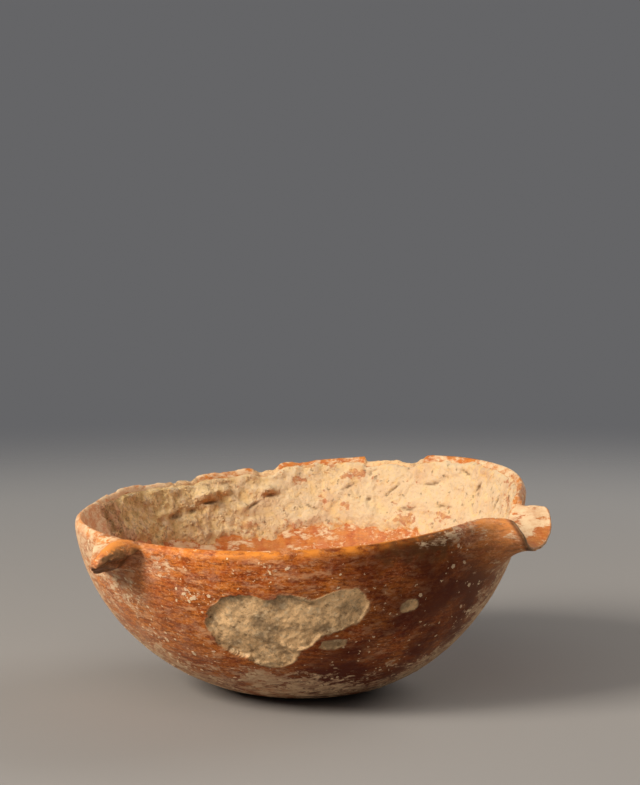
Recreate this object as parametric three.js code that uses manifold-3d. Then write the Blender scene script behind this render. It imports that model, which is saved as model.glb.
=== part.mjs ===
// Lugged pottery bowl: hand built from a pad and strips of clay, with a trough-shaped pouring lug,
// a drooping tongue lug, a flaked patch low on the front and a lime crust inside.
// Millimetres, +Z up. The flat spot it rests on is centred on the origin and the flaked front faces -Y.

import * as THREE from 'three';
import { mergeVertices } from 'three/addons/utils/BufferGeometryUtils.js';
import Module from 'manifold-3d';

const wasm = await Module();
wasm.setup();

const { lerp, clamp, smoothstep, degToRad } = THREE.MathUtils;

// Bowl
const RIM_RADIUS = 75.2;      // mean outer radius at the lip
const RIM_HEIGHT = 63.9;      // mean height of the lip
const REST_RADIUS = 15.8;     // flat spot under the base
const FULLNESS = 1.81;        // 2 would be a quarter ellipse, less is a slacker curve
const FLOOR = 7;              // clay at the middle of the base
const WALL = 5;               // clay half way up
const LIP = 3.5;              // clay at the lip
const LIP_ROUND = 0.22;       // how far the lip's edges drop below its crown, in shares of LIP
const RIM_OFFSET = { x: -2, y: -2 };  // the lip's centre against the rest spot's

// Hand-made waviness: first and second harmonic of the lip's radius and height around the bowl
const RADIUS_WAVE = { cos1: 0.55, sin1: -1.1, cos2: -0.2, sin2: 0 };
const HEIGHT_WAVE = { cos1: 5.5, sin1: 3.4, cos2: 1.03, sin2: 0.97 };

// Strips of clay, as shares of the way up the outer curve
const JOINTS = [0.3, 0.52, 0.72, 0.88];
const JOINT_SLANT = 0.035;    // a joint sits this much lower on the inside
const JOINT_GAP = 0.3;        // between neighbouring pieces
const LIP_START = 0.97;       // where the wall turns into the lip
const DIP_START = 0.86;       // share of the height above which the lip dips into a lug

// Facets
const AROUND = 84;
const ROWS = 3;

// Lugs: heading in degrees counted from +X towards +Y, sizes in millimetres
const POURING_LUG = {
  heading: -28, rootHalf: 22, tipHalf: 12.5, lipReach: 6.5, tipReach: 10.4, skew: 0.7,
  settle: 1.7, droop: 0.6, dish: 6, mouthDish: 7.5, tipDepth: 11, rootDepth: 19, curl: 0,
};
const TONGUE_LUG = {
  heading: -134, rootHalf: 19, tipHalf: 6.5, lipReach: 8.5, tipReach: 13.5, skew: 1,
  settle: 0.2, droop: 4.8, dish: 0.8, mouthDish: 1.4, tipDepth: 4, rootDepth: 13, curl: 1.2,
};
const LUG_EMBED = 4;          // how far a lug's blank runs into the wall at its foot before it is trimmed
const LUG_LAP = 0.8;          // and at its lip
const LUG_ROOT = 0.12;        // share of the blank's steps inside the wall
const LUG_EDGE = 3;           // clay at a lug's edge
const LUG_NOSE = 0.8;         // rounding of that edge
const LUG_BLEND = 1.5;        // the lip has melted back to its own height this many half widths off a lug

// Flaked patch on the front: overlapping dishes, each with a heading, a share up the wall and half sizes
const SCAR_DEPTH = 1.3;
const SCAR_DISHES = [
  { heading: -106.5, rise: 0.7, halfWidth: 9.8, halfHeight: 13.5 },
  { heading: -94.5, rise: 0.705, halfWidth: 7.8, halfHeight: 12.5 },
  { heading: -81.5, rise: 0.745, halfWidth: 9.2, halfHeight: 9.5 },
  { heading: -97, rise: 0.575, halfWidth: 8, halfHeight: 8.5 },
  { heading: -80, rise: 0.608, halfWidth: 3.3, halfHeight: 2.6 },
];

// Chips out of the far lip: heading, half length along the lip and depth
const LIP_CHIPS = [
  { heading: 58, halfLength: 12, depth: 2.4 },
  { heading: 99, halfLength: 5, depth: 1.6 },
  { heading: 126, halfLength: 26, depth: 0.8 },
  { heading: 152, halfLength: 6, depth: 1.3 },
];

// Lime crust on the inside of the far and right wall
const CRUST = {
  from: -12, to: 162, low: 0.66, high: 0.95, ragged: 0.05, taper: 0.38, thickness: 2.2, edge: 0.7,
};
const CRUST_LUMPS = [
  { heading: 119, rise: 0.88, halfWidth: 6, halfHeight: 4 },
  { heading: 100, rise: 0.87, halfWidth: 4.5, halfHeight: 3 },
];

// Lip radius and height around the bowl
function wave(harmonics, angle) {
  return harmonics.cos1 * Math.cos(angle) + harmonics.sin1 * Math.sin(angle)
    + harmonics.cos2 * Math.cos(2 * angle) + harmonics.sin2 * Math.sin(2 * angle);
}

function rimRadius(angle) {
  return RIM_RADIUS + wave(RADIUS_WAVE, angle);
}

function rimHeight(angle) {
  return RIM_HEIGHT + wave(HEIGHT_WAVE, angle);
}

// How deep a rounded trough is across its width: 1 in the middle, 0 at its edges and beyond
function hump(across) {
  return (1 - Math.min(1, Math.abs(across)) ** 2.5) ** 0.4;
}

// Where a direction falls across a lug: 0 on its axis, -1 and 1 at the edges of its tip
function acrossLug(lug, angle) {
  const turn = angle - degToRad(lug.heading);
  return Math.atan2(Math.sin(turn), Math.cos(turn)) * RIM_RADIUS / lug.tipHalf;
}

function lugLip(lug) {
  return rimHeight(degToRad(lug.heading)) - lug.settle;
}

function lugDip(lug, angle) {
  const across = acrossLug(lug, angle);
  const inner = 1 - LUG_EDGE / lug.tipHalf;
  const weight = 1 - smoothstep(Math.abs(across), 1, LUG_BLEND);
  return weight * (rimHeight(angle) - lugLip(lug) + lug.dish * hump(across / inner));
}

function rimDip(angle) {
  return lugDip(POURING_LUG, angle) + lugDip(TONGUE_LUG, angle);
}

// Wall section: share 0 is the edge of the rest spot and 1 the lip
function outerPoint(share) {
  const angle = share * Math.PI / 2;
  const power = 2 / FULLNESS;
  const radius = REST_RADIUS + (RIM_RADIUS - REST_RADIUS) * Math.sin(angle) ** power;
  const height = RIM_HEIGHT * (1 - Math.max(0, Math.cos(angle)) ** power);
  return new THREE.Vector2(radius, height);
}

function outerRadiusAt(height) {
  const power = 2 / FULLNESS;
  const cosine = (1 - clamp(height / RIM_HEIGHT, 0, 1)) ** (1 / power);
  return REST_RADIUS + (RIM_RADIUS - REST_RADIUS) * Math.sqrt(1 - cosine * cosine) ** power;
}

function outwardNormal(share) {
  const step = 0.003;
  const before = outerPoint(Math.max(0, share - step));
  const after = outerPoint(Math.min(1, share + step));
  const along = after.sub(before).normalize();
  return new THREE.Vector2(along.y, -along.x);
}

function wallThickness(share) {
  const lower = lerp(FLOOR, WALL, smoothstep(share, 0.1, 0.5));
  return lerp(lower, LIP, smoothstep(share, 0.75, 1));
}

function wallPoint(share, depth) {
  return outerPoint(share).addScaledVector(outwardNormal(share), -depth);
}

function innerPoint(share) {
  return wallPoint(share, wallThickness(share));
}

// Length of the outer curve for one whole share, as it runs at this share
function curveLength(share) {
  const step = 0.01;
  return outerPoint(share + step).distanceTo(outerPoint(share)) / step;
}

function gapShare(share) {
  return JOINT_GAP / curveLength(share);
}

function rows(from, to, point) {
  const points = [];
  for (let row = 0; row <= ROWS; row++) {
    points.push(point(lerp(from, to, row / ROWS)));
  }
  return points;
}

function lipCrown(grow) {
  const drop = LIP_ROUND * LIP;
  return [
    new THREE.Vector2(RIM_RADIUS - 0.1 * LIP + grow, RIM_HEIGHT - drop + grow),
    new THREE.Vector2(RIM_RADIUS - 0.5 * LIP, RIM_HEIGHT + grow),
    new THREE.Vector2(RIM_RADIUS - 0.9 * LIP - grow, RIM_HEIGHT - drop + grow),
  ];
}

// Hand-made shape: moves a point of the plain turned bowl to its place on the leaning, wavy one
function warpPoint(point) {
  const radius = Math.hypot(point.x, point.y);
  const angle = Math.atan2(point.y, point.x);
  const spread = clamp((radius - REST_RADIUS) / (RIM_RADIUS - REST_RADIUS), 0, 1);
  const lift = (rimHeight(angle) / RIM_HEIGHT - 1) * Math.min(1, radius / REST_RADIUS);
  const dip = rimDip(angle) * clamp((point.z / RIM_HEIGHT - DIP_START) / (1 - DIP_START), 0, 1);
  const grown = radius + (rimRadius(angle) - RIM_RADIUS) * spread;
  return new THREE.Vector3(
    grown * Math.cos(angle) + RIM_OFFSET.x * spread,
    grown * Math.sin(angle) + RIM_OFFSET.y * spread,
    point.z * (1 + lift) - dip,
  );
}

function mapped(geometry, move) {
  const positions = geometry.attributes.position;
  const point = new THREE.Vector3();
  for (let i = 0; i < positions.count; i++) {
    point.fromBufferAttribute(positions, i);
    const moved = move(point);
    positions.setXYZ(i, moved.x, moved.y, moved.z);
  }
  geometry.deleteAttribute('normal');
  geometry.deleteAttribute('uv');
  return mergeVertices(geometry, 1e-4);
}

function turned(profile) {
  const geometry = new THREE.LatheGeometry(profile, AROUND);
  geometry.rotateX(Math.PI / 2);
  return mapped(geometry, warpPoint);
}

// Booleans
function toSolid(geometry) {
  return new wasm.Manifold(new wasm.Mesh({
    numProp: 3,
    vertProperties: new Float32Array(geometry.attributes.position.array),
    triVerts: new Uint32Array(geometry.index.array),
  }));
}

function toGeometry(solid) {
  const mesh = solid.getMesh();
  const geometry = new THREE.BufferGeometry();
  geometry.setAttribute('position', new THREE.BufferAttribute(mesh.vertProperties, 3));
  geometry.setIndex(new THREE.BufferAttribute(mesh.triVerts, 1));
  return geometry;
}

function joined(solids) {
  return solids.reduce((whole, solid) => whole.add(solid));
}

// Place on the warped wall: a point of the section turned to a heading
function placed(sectionPoint, angle) {
  return warpPoint(new THREE.Vector3(
    sectionPoint.x * Math.cos(angle),
    sectionPoint.x * Math.sin(angle),
    sectionPoint.y,
  ));
}

// A pebble bent to the wall: half sizes around it and up it, and how far it reaches out and in from a depth
function pebbleOnWall(spot, depth, reachOut, reachIn) {
  const radius = outerPoint(spot.rise).x;
  const rise = curveLength(spot.rise);
  const geometry = new THREE.SphereGeometry(1, 20, 10);
  return toSolid(mapped(geometry, (point) => {
    const angle = degToRad(spot.heading) + point.x * spot.halfWidth / radius;
    const share = spot.rise + point.y * spot.halfHeight / rise;
    const out = point.z * (point.z > 0 ? reachOut : reachIn);
    return placed(wallPoint(share, depth - out), angle);
  }));
}

// Cuts
function scarDish(dish) {
  return pebbleOnWall(dish, 0, 2 * SCAR_DEPTH, SCAR_DEPTH);
}

function lipChip(chip) {
  const angle = degToRad(chip.heading);
  const geometry = new THREE.SphereGeometry(1, 18, 12);
  geometry.scale(2 * LIP, chip.halfLength * 1.25, 2 * chip.depth);
  geometry.rotateZ(angle);
  const centre = placed(new THREE.Vector2(RIM_RADIUS - LIP / 2, RIM_HEIGHT + chip.depth), angle);
  return toSolid(mapped(geometry, (point) => point.clone().add(centre)));
}

const scar = joined(SCAR_DISHES.map(scarDish));
const chips = joined(LIP_CHIPS.map(lipChip));

// Body pieces
function basePad() {
  const profile = [
    new THREE.Vector2(0, 0),
    ...rows(0, JOINTS[0], outerPoint),
    ...rows(JOINTS[0] - JOINT_SLANT, 0, innerPoint),
    new THREE.Vector2(0, FLOOR),
  ];
  return turned(profile);
}

function wallStrip(lower, upper) {
  const start = lower + gapShare(lower);
  const profile = [
    ...rows(start, upper, outerPoint),
    ...rows(upper - JOINT_SLANT, start - JOINT_SLANT, innerPoint),
  ];
  profile.push(profile[0].clone());
  return toGeometry(toSolid(turned(profile)).subtract(scar));
}

function rimStrip() {
  const start = JOINTS[3] + gapShare(JOINTS[3]);
  const profile = [
    ...rows(start, LIP_START, outerPoint),
    ...lipCrown(0),
    ...rows(LIP_START, start - JOINT_SLANT, innerPoint),
  ];
  profile.push(profile[0].clone());
  return toGeometry(toSolid(turned(profile)).subtract(chips));
}

// The whole bowl grown by the joint gap and filled, to trim what is stuck to its outside
function trimmingBody() {
  const profile = [new THREE.Vector2(0, -JOINT_GAP)];
  const ends = [0, ...JOINTS, LIP_START];
  for (let strip = 0; strip + 1 < ends.length; strip++) {
    const outside = rows(ends[strip], ends[strip + 1], (share) => wallPoint(share, -JOINT_GAP));
    profile.push(...outside.slice(strip === 0 ? 0 : 1));
  }
  profile.push(...lipCrown(JOINT_GAP).slice(0, 2));
  profile.push(new THREE.Vector2(0, RIM_HEIGHT + JOINT_GAP));
  return toSolid(turned(profile));
}

const bowlBody = trimmingBody();

// Lugs: a block bent into a trough that flares into the wall, then trimmed to it
function lugPoint(lug, block) {
  const heading = degToRad(lug.heading);
  const side = Math.sin(block.y * Math.PI / 2);
  const along = block.x + 0.5;
  const layer = block.z + 0.5;
  const reach = lerp(lug.lipReach, lug.tipReach, hump(side) ** 0.6) + lug.skew * side;
  const inside = Math.max(0, 1 - along / LUG_ROOT);
  const share = Math.max(0, (along - LUG_ROOT) / (1 - LUG_ROOT)) ** 1.6;
  const flare = (1 - share) ** 3;
  const half = lerp(lug.tipHalf, lug.rootHalf, flare);
  const angle = heading + Math.asin(side * half / rimRadius(heading));

  const curl = lug.curl * share * Math.exp(-(((side - 0.7) / 0.5) ** 2));
  const lip = Math.min(lugLip(lug), rimHeight(angle) - JOINT_GAP) - lug.droop * share ** 1.5;
  const hollow = lerp(lug.dish, lug.mouthDish, share) * hump(side * half / (lug.tipHalf - LUG_EDGE));
  const top = lip - hollow + curl;
  const keel = lerp(lug.tipDepth, lug.rootDepth, flare) * hump(side);
  const under = Math.min(lip - Math.max(keel, LUG_EDGE / 2), top - 0.6 * LUG_EDGE);
  const height = lerp(under, top, layer);

  const rounding = Math.abs(block.z) < 0.25 ? LUG_NOSE : 0;
  const nose = along > 0.99 ? rounding : 0;
  const bulge = Math.abs(block.y) > 0.99 ? Math.sign(side) * rounding * share : 0;
  const wallInset = RIM_RADIUS - outerRadiusAt(height * RIM_HEIGHT / rimHeight(angle));
  const wallRadial = rimRadius(heading) * Math.cos(angle - heading) - wallInset * (1 - share);
  const radial = wallRadial + share * reach - inside * lerp(LUG_EMBED, LUG_LAP, layer) + nose;
  const sideways = side * half + bulge;
  return new THREE.Vector3(
    RIM_OFFSET.x + radial * Math.cos(heading) - sideways * Math.sin(heading),
    RIM_OFFSET.y + radial * Math.sin(heading) + sideways * Math.cos(heading),
    height,
  );
}

function lugPiece(lug) {
  const block = new THREE.BoxGeometry(1, 2, 1, 8, 18, 2);
  const blank = mapped(block, (point) => lugPoint(lug, point));
  return toGeometry(toSolid(blank).subtract(bowlBody));
}

// Lime crust: a block bent on to the inside of the wall, thin at its edges, with two lumps
function crustPoint(block) {
  const around = block.x + 0.5;
  const up = block.y + 0.5;
  const angle = degToRad(lerp(CRUST.from, CRUST.to, around));
  const low = CRUST.low + CRUST.ragged * (Math.sin(5 * angle) + Math.sin(2 * angle + 1)) / 2;
  const narrowing = CRUST.taper * (CRUST.high - low) * Math.abs(2 * around - 1) ** 6;
  const share = lerp(low + narrowing, CRUST.high - narrowing, up);
  const body = Math.min(1, 8 * around * (1 - around), 5 * up * (1 - up));
  const thickness = lerp(CRUST.edge, CRUST.thickness, body);
  const depth = wallThickness(share) + JOINT_GAP + (0.5 - block.z) * thickness;
  return placed(wallPoint(share, depth), angle);
}

function crustPiece() {
  const block = new THREE.BoxGeometry(1, 1, 1, 44, 5, 1);
  const sheet = toSolid(mapped(block, crustPoint));
  const lumps = CRUST_LUMPS.map((lump) => {
    const depth = wallThickness(lump.rise) + JOINT_GAP + CRUST.thickness;
    return pebbleOnWall(lump, depth, CRUST.thickness / 2, CRUST.thickness);
  });
  return toGeometry(joined([sheet, ...lumps]));
}

// Materials
function clay(colour, roughness) {
  return new THREE.MeshStandardMaterial({ color: colour, roughness, metalness: 0 });
}

const slipRed = clay(0xa5481c, 0.55);
const slipOrange = clay(0xc8742f, 0.6);
const lime = clay(0xe4c698, 0.95);

// Assembly
const bowl = new THREE.Group();

function addPiece(name, geometry, material) {
  const mesh = new THREE.Mesh(geometry, material);
  mesh.name = name;
  bowl.add(mesh);
}

addPiece('base_pad', basePad(), slipRed);
addPiece('lower_wall_strip', wallStrip(JOINTS[0], JOINTS[1]), slipRed);
addPiece('middle_wall_strip', wallStrip(JOINTS[1], JOINTS[2]), slipRed);
addPiece('upper_wall_strip', wallStrip(JOINTS[2], JOINTS[3]), slipRed);
addPiece('rim_strip', rimStrip(), slipOrange);
addPiece('pouring_lug', lugPiece(POURING_LUG), slipOrange);
addPiece('tongue_lug', lugPiece(TONGUE_LUG), slipOrange);
addPiece('inner_crust', crustPiece(), lime);

export default bowl;
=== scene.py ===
import math

import bpy
import numpy as np
from mathutils import Euler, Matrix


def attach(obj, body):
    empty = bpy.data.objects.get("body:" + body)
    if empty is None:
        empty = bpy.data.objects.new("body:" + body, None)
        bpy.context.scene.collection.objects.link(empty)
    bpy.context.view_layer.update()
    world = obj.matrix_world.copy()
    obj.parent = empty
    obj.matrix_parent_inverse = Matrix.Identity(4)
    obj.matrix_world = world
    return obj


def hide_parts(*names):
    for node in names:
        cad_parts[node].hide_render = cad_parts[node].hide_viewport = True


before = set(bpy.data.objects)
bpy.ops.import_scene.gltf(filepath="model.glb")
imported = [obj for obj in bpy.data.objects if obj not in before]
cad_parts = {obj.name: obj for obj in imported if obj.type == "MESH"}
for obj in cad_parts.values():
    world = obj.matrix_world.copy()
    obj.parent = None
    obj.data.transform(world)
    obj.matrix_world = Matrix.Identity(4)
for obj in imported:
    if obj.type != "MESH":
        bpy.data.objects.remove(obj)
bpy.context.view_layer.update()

MM = 0.001

# Sizes of the bowl in millimetres, the same as those of the solids
RIM_RADIUS = 75.2
RIM_HEIGHT = 63.9
REST_RADIUS = 15.8
FULLNESS = 1.81
FLOOR = 7.0
WALL = 5.0
LIP = 3.5
LIP_ROUND_OUT = 4.2
LIP_ROUND_IN = 3.0
LEAN = np.array([-2.0, -2.0])
RADIUS_WAVE = {"cos 1": 0.55, "sin 1": -1.1, "cos 2": -0.2, "sin 2": 0.0}
HEIGHT_WAVE = {"cos 1": 5.5, "sin 1": 3.4, "cos 2": 1.03, "sin 2": 0.97}
# Joints of the clay strips as shares of the wall's rise, and how much lower they lie on the inside
JOINTS = [0.3, 0.52, 0.72, 0.88]
JOINT_SLANT = 0.035
STRIPS = len(JOINTS) + 1
# Share of the rim's height above which dips and chips of the lip move the wall
DIP_START = 0.86
# Radius within which headings are taken from the axis, as the lean is small there
AXIS_REACH = 30
# Length of the wall from the rest spot to the lip, for spots on it and for the lobes of the scar
WALL_LENGTH = 105
SCAR_WALL_LENGTH = 104
# Where the width of spots is measured, as a share of the rim's radius
SPOT_REACH = 0.9
# Radius of the last ring round the axis, and the share of the rise where the inner wall meets the floor
POLE_RING = 2.0
FLOOR_SHARE = 0.03

# Fineness of the mesh: columns and rows, and spacings in millimetres
COLUMNS = 1000
FLAT_ROWS = 9
CROWN_ROWS = 12
BASE_SPACING = 0.72
OUTER_SPACING = 0.48
INNER_SPACING = 0.56
FLOOR_SPACING = 1.2
NET_STEP = 0.45

# The two lugs: headings in degrees, lengths in millimetres
POURING_LUG = {
    "heading": -28, "tip half": 12.5, "near root half": 19.0, "far root half": 14.0, "near reach": 4.4,
    "far reach": 8.1, "tip reach": 10.3, "settle": 1.7, "droop": 0.3, "tilt": 0.045, "depth": 12.0,
    "root depth": 18.5, "edge": 2.4, "mouth edge": 1.2, "dish": 6.0, "mouth dish": 10.7,
    "near fillet": 4.5, "far fillet": 2.5, "near blend": 2.1, "far blend": 1.15, "zone": 36.0,
}
TONGUE_LUG = {
    "heading": -134, "tip half": 6.5, "reach": 14.2, "settle": 0.2, "rise": 1.6, "droop": 4.8,
    "left drop": 1.2, "root right": 7.6, "tip right": 0.6, "root left": -18.0, "tip left": -3.0,
    "roll": 3.6, "fall": 2.0, "root edge": 0.6, "edge": 4.6, "under slope": 0.75, "dish": 1.0, "tilt": 0.0,
    "near fillet": 3.6, "far fillet": 3.6, "near blend": 1.5, "far blend": 1.5, "zone": 27.0,
}
# How far the smeared clay of a lug stands over the wall
SKIN = 0.05

# The flaked scar: heading, share of the wall's rise, half width, half height, tilt and depth of each lobe
SCAR_LOBES = [
    (-102.8, 0.675, 14.3, 14.6, 0, 1.3),
    (-92.5, 0.70, 10.6, 12.6, 0, 1.15),
    (-98.0, 0.56, 8.6, 7.2, 0, 1.0),
    (-81.2, 0.74, 11.6, 8.6, 24, 0.9),
    (-80.0, 0.608, 3.6, 2.4, 10, 0.5),
    (-61.0, 0.729, 2.6, 2.4, 0, 0.5),
]
# A raised stretch of the lip: heading, half length and height
LIP_SWELL = (148.0, 24.0, 1.5)
# Chips out of the lip: heading, half length and depth, and how abrupt the left and right ends are
LIP_CHIPS = [
    (60.0, 13.5, 1.9, 0.1, 0.4),
    (58.0, 11.0, 3.2, 1.2, 0.8),
    (99.0, 5.5, 1.6, 0.4, 0.6),
    (124.0, 7.0, 0.8, 0.3, 0.6),
    (153.0, 4.0, 0.7, 0.4, 0.4),
]
# Lime film on the outside: weight, heading, share of the rise, half width and half height of each spot
FILM_SPOTS = [
    (0.54, -84, 0.25, 38, 22),
    (0.6, -22, 0.6, 14, 26),
    (-0.4, -135, 0.77, 9, 11),
    (0.8, -106, 0.43, 12, 6),
    (0.5, -95, 0.90, 6, 2.2),
    (0.7, -124, 0.93, 8, 6),
    (0.45, -56, 0.96, 18, 3.5),
    (0.4, -115, 0.81, 5, 3),
    (0.25, -44, 0.93, 7, 5),
    (0.3, 2, 0.95, 16, 9),
]


# Numbers
def lerp(first, second, share):
    return first + (second - first) * share


def ramp(value, low, high):
    share = np.clip((value - low) / (high - low), 0, 1)
    return share * share * (3 - 2 * share)


def smooth_max(first, second, blend):
    near = np.maximum(blend - np.abs(first - second), 0) / blend
    return np.maximum(first, second) + near * near * blend / 4


def smooth_min(first, second, blend):
    return -smooth_max(-first, -second, blend)


def blob(angle, share, heading, rise, half_width, half_height):
    # A soft round spot on the wall, 1 at its middle; its heading is in degrees
    across = (angle - math.radians(heading)) * RIM_RADIUS * SPOT_REACH / half_width
    upward = (share - rise) * WALL_LENGTH / half_height
    return np.exp(-across * across - upward * upward)


# Noise for the relief: a number from -1 to 1 that changes smoothly from place to place
def cell_number(cells, seed):
    code = cells[..., 0] * 374761393 + cells[..., 1] * 668265263 + cells[..., 2] * 1274126177
    code = code + seed * 974634433
    code = (code ^ (code >> 13)) * 1103515245
    code = code ^ (code >> 16)
    return (code & 0xFFFF) / 32767.5 - 1


def smooth_noise(points, size, seed):
    place = points / size
    base = np.floor(place).astype(np.int64)
    part = place - base
    part = part * part * part * (part * (part * 6 - 15) + 10)
    total = np.zeros(points.shape[:-1])
    for corner in np.ndindex(2, 2, 2):
        weight = np.prod(np.where(corner, part, 1 - part), axis=-1)
        total += weight * cell_number(base + np.array(corner), seed)
    return total


TWIST = np.array(Euler((0.6, 0.4, 0.9)).to_matrix())


def layered_noise(points, size, seed, layers=3):
    total = np.zeros(points.shape[:-1])
    turned = points
    for layer in range(layers):
        turned = turned @ TWIST
        total += smooth_noise(turned, size / 2 ** layer, seed + layer) / 2 ** layer
    return total / 1.4


# The rule of the bowl: a turned wall, waved round its rim
def wave(terms, angle):
    return (
        terms["cos 1"] * np.cos(angle) + terms["sin 1"] * np.sin(angle)
        + terms["cos 2"] * np.cos(2 * angle) + terms["sin 2"] * np.sin(2 * angle)
    )


def rim_radius(angle):
    return RIM_RADIUS + wave(RADIUS_WAVE, angle)


def rim_height(angle):
    return RIM_HEIGHT + wave(HEIGHT_WAVE, angle)


def outer_section(share):
    bend = np.asarray(share) * np.pi / 2
    power = 2 / FULLNESS
    radius = REST_RADIUS + (RIM_RADIUS - REST_RADIUS) * np.sin(bend) ** power
    height = RIM_HEIGHT * (1 - np.maximum(0, np.cos(bend)) ** power)
    return np.stack([radius, height], -1)


def section_normal(share):
    step = 0.003
    run = outer_section(np.minimum(1, share + step)) - outer_section(np.maximum(0, share - step))
    run = run / np.linalg.norm(run, axis=-1, keepdims=True)
    return np.stack([run[..., 1], -run[..., 0]], -1)


def wall_thickness(share):
    lower = lerp(FLOOR, WALL, ramp(share, 0.1, 0.5))
    return lerp(lower, LIP, ramp(share, 0.75, 1))


def inner_section(share):
    share = np.asarray(share)
    return outer_section(share) - section_normal(share) * wall_thickness(share)[..., None]


def share_at(height):
    cosine = (1 - np.clip(height / RIM_HEIGHT, 0, 1)) ** (FULLNESS / 2)
    return np.arccos(cosine) * 2 / np.pi


# The wall as curves over its height, for the lugs
SHARES = np.linspace(0.02, 1, 600)
OUTSIDE = outer_section(SHARES)
INSIDE = inner_section(SHARES)
TILTS = section_normal(SHARES)[:, 0]


def outer_radius(height):
    return np.interp(height, OUTSIDE[:, 1], OUTSIDE[:, 0])


def inner_radius(height):
    return np.interp(height, INSIDE[:, 1], INSIDE[:, 0])


def wall_tilt(height):
    return np.interp(height, OUTSIDE[:, 1], TILTS)


def wall_place(points):
    # Heading, radius and height on the plain turned bowl, for points of the leaning, wavy one
    lean = np.ones(len(points))
    for _ in range(4):
        flat = points[:, :2] - lean[:, None] * LEAN
        angle = np.arctan2(flat[:, 1], flat[:, 0])
        reach = np.hypot(flat[:, 0], flat[:, 1])
        lean = np.clip((reach - REST_RADIUS) / (rim_radius(angle) - REST_RADIUS), 0, 1)
    radius = reach - (rim_radius(angle) - RIM_RADIUS) * lean
    height = points[:, 2] * RIM_HEIGHT / rim_height(angle)
    return angle, radius, height


# Lip: chips, and the places where the lugs start
def turn_from(angle, heading):
    # Signed angle from a heading in degrees
    return (angle - math.radians(heading) + np.pi) % (2 * np.pi) - np.pi


def fresh_lip_loss(angle):
    loss = np.zeros_like(angle)
    ring = np.stack([np.cos(angle), np.sin(angle), np.zeros_like(angle)], -1) * RIM_RADIUS
    for heading, half_length, depth, left_end, right_end in LIP_CHIPS:
        place = turn_from(angle, heading) * RIM_RADIUS / half_length
        place = place + 0.12 * layered_noise(ring, 3.0, 5)
        left = ramp(1 - place, 0, left_end)
        right = ramp(1 + place, 0, right_end)
        loss = np.maximum(loss, depth * left * right)
    degrees = np.degrees(angle)
    worn = ramp(degrees, 81, 95) * ramp(-degrees, -150, -128)
    rough = layered_noise(ring, 5.0, 9, 4)
    heading, half_length, height = LIP_SWELL
    swell = height * ramp(1 - np.abs(turn_from(angle, heading)) * RIM_RADIUS / half_length, 0, 1)
    return loss - swell + (0.3 + 0.7 * worn) * ramp(degrees, 60, 90) * (0.4 + 0.9 * rough)


RING = np.linspace(-np.pi, np.pi, 3601)
RING_LOSS = fresh_lip_loss(RING)


def lip_loss(angle):
    return np.interp(angle, RING, RING_LOSS)


def lip_round(middle):
    # How far down the lip's rounding reaches, at a distance outwards from the middle of the wall
    return lerp(LIP_ROUND_IN, LIP_ROUND_OUT, ramp(middle, -0.8, 0.8))


def lug_lip(lug):
    return rim_height(math.radians(lug["heading"])) - lug["settle"]


def lug_nearness(angle, lug, first, last):
    across = np.abs(turn_from(angle, lug["heading"])) * RIM_RADIUS / lug["tip half"]
    return 1 - ramp(across, first, last)


def lip_top(angle):
    top = rim_height(angle) - lip_loss(angle)
    for lug in (POURING_LUG, TONGUE_LUG):
        across = turn_from(angle, lug["heading"]) * RIM_RADIUS
        blend = np.where(across < 0, lug["near blend"], lug["far blend"])
        level = lug_lip(lug) + lug["tilt"] * across
        top = top - lug_nearness(angle, lug, 1.0, blend) * np.maximum(0, top - level)
    return top


def lip_dip(angle):
    # How far the lip of the wall itself lies under the plain waved rim
    dip = rim_height(angle) - lip_top(angle)
    for lug in (POURING_LUG, TONGUE_LUG):
        dip = dip + lug_nearness(angle, lug, 0.7, 0.95) * (lug["dish"] + 0.8)
        across = np.abs(turn_from(angle, lug["heading"])) * RIM_RADIUS
        dip = dip + 0.45 * (1 - ramp(across / lug["zone"], 0.55, 0.75))
    return dip


# Relief of the hand-made surface, outwards in millimetres
def unevenness(points):
    broad = layered_noise(points, 26.0, 21, 2)
    small = layered_noise(points * np.array([0.5, 0.5, 1]), 5.0, 33, 3)
    return 0.16 * broad - 0.2 + 0.06 * small


def scar_depths(angle, share, points):
    # Depth of the flaked scar and a mask that is 1 where the raw clay shows
    depth = np.zeros(angle.shape)
    mask = np.zeros(angle.shape)
    wobble = 1.0 * layered_noise(points, 4.5, 41) + 0.5 * layered_noise(points, 1.5, 43)
    floor = 0.75 * layered_noise(points, 8.0, 47, 4) + 0.18 * layered_noise(points, 1.2, 51, 2)
    slope = lerp(0.6, 4.0, ramp(layered_noise(points, 7.0, 53, 2), -0.1, 0.5))
    for heading, rise, half_width, half_height, tilt, deepest in SCAR_LOBES:
        across = turn_from(angle, heading) * outer_section(rise)[0]
        upward = (share - rise) * SCAR_WALL_LENGTH
        slant = math.radians(tilt)
        first = (across * math.cos(slant) + upward * math.sin(slant)) / half_width
        second = (upward * math.cos(slant) - across * math.sin(slant)) / half_height
        size = min(half_width, half_height)
        inside = (1 - np.hypot(first, second)) * size + wobble * min(1, 0.6 + size / 8)
        dish = deepest * (0.75 + 0.4 * np.clip(inside / size, 0, 1)) + floor * min(1, deepest)
        depth = np.maximum(depth, np.clip(dish, 0.15, None) * ramp(inside, -0.1, slope))
        mask = np.maximum(mask, ramp(inside, -0.25, 0.3))
    return depth, mask


def crust_edge(angle, share):
    # How far above the crust's lower edge a place on the inside lies, in millimetres
    edge = np.interp(np.degrees(angle), CRUST_EDGE_HEADINGS, CRUST_EDGE_SHARES)
    return (share - edge) * WALL_LENGTH


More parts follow.
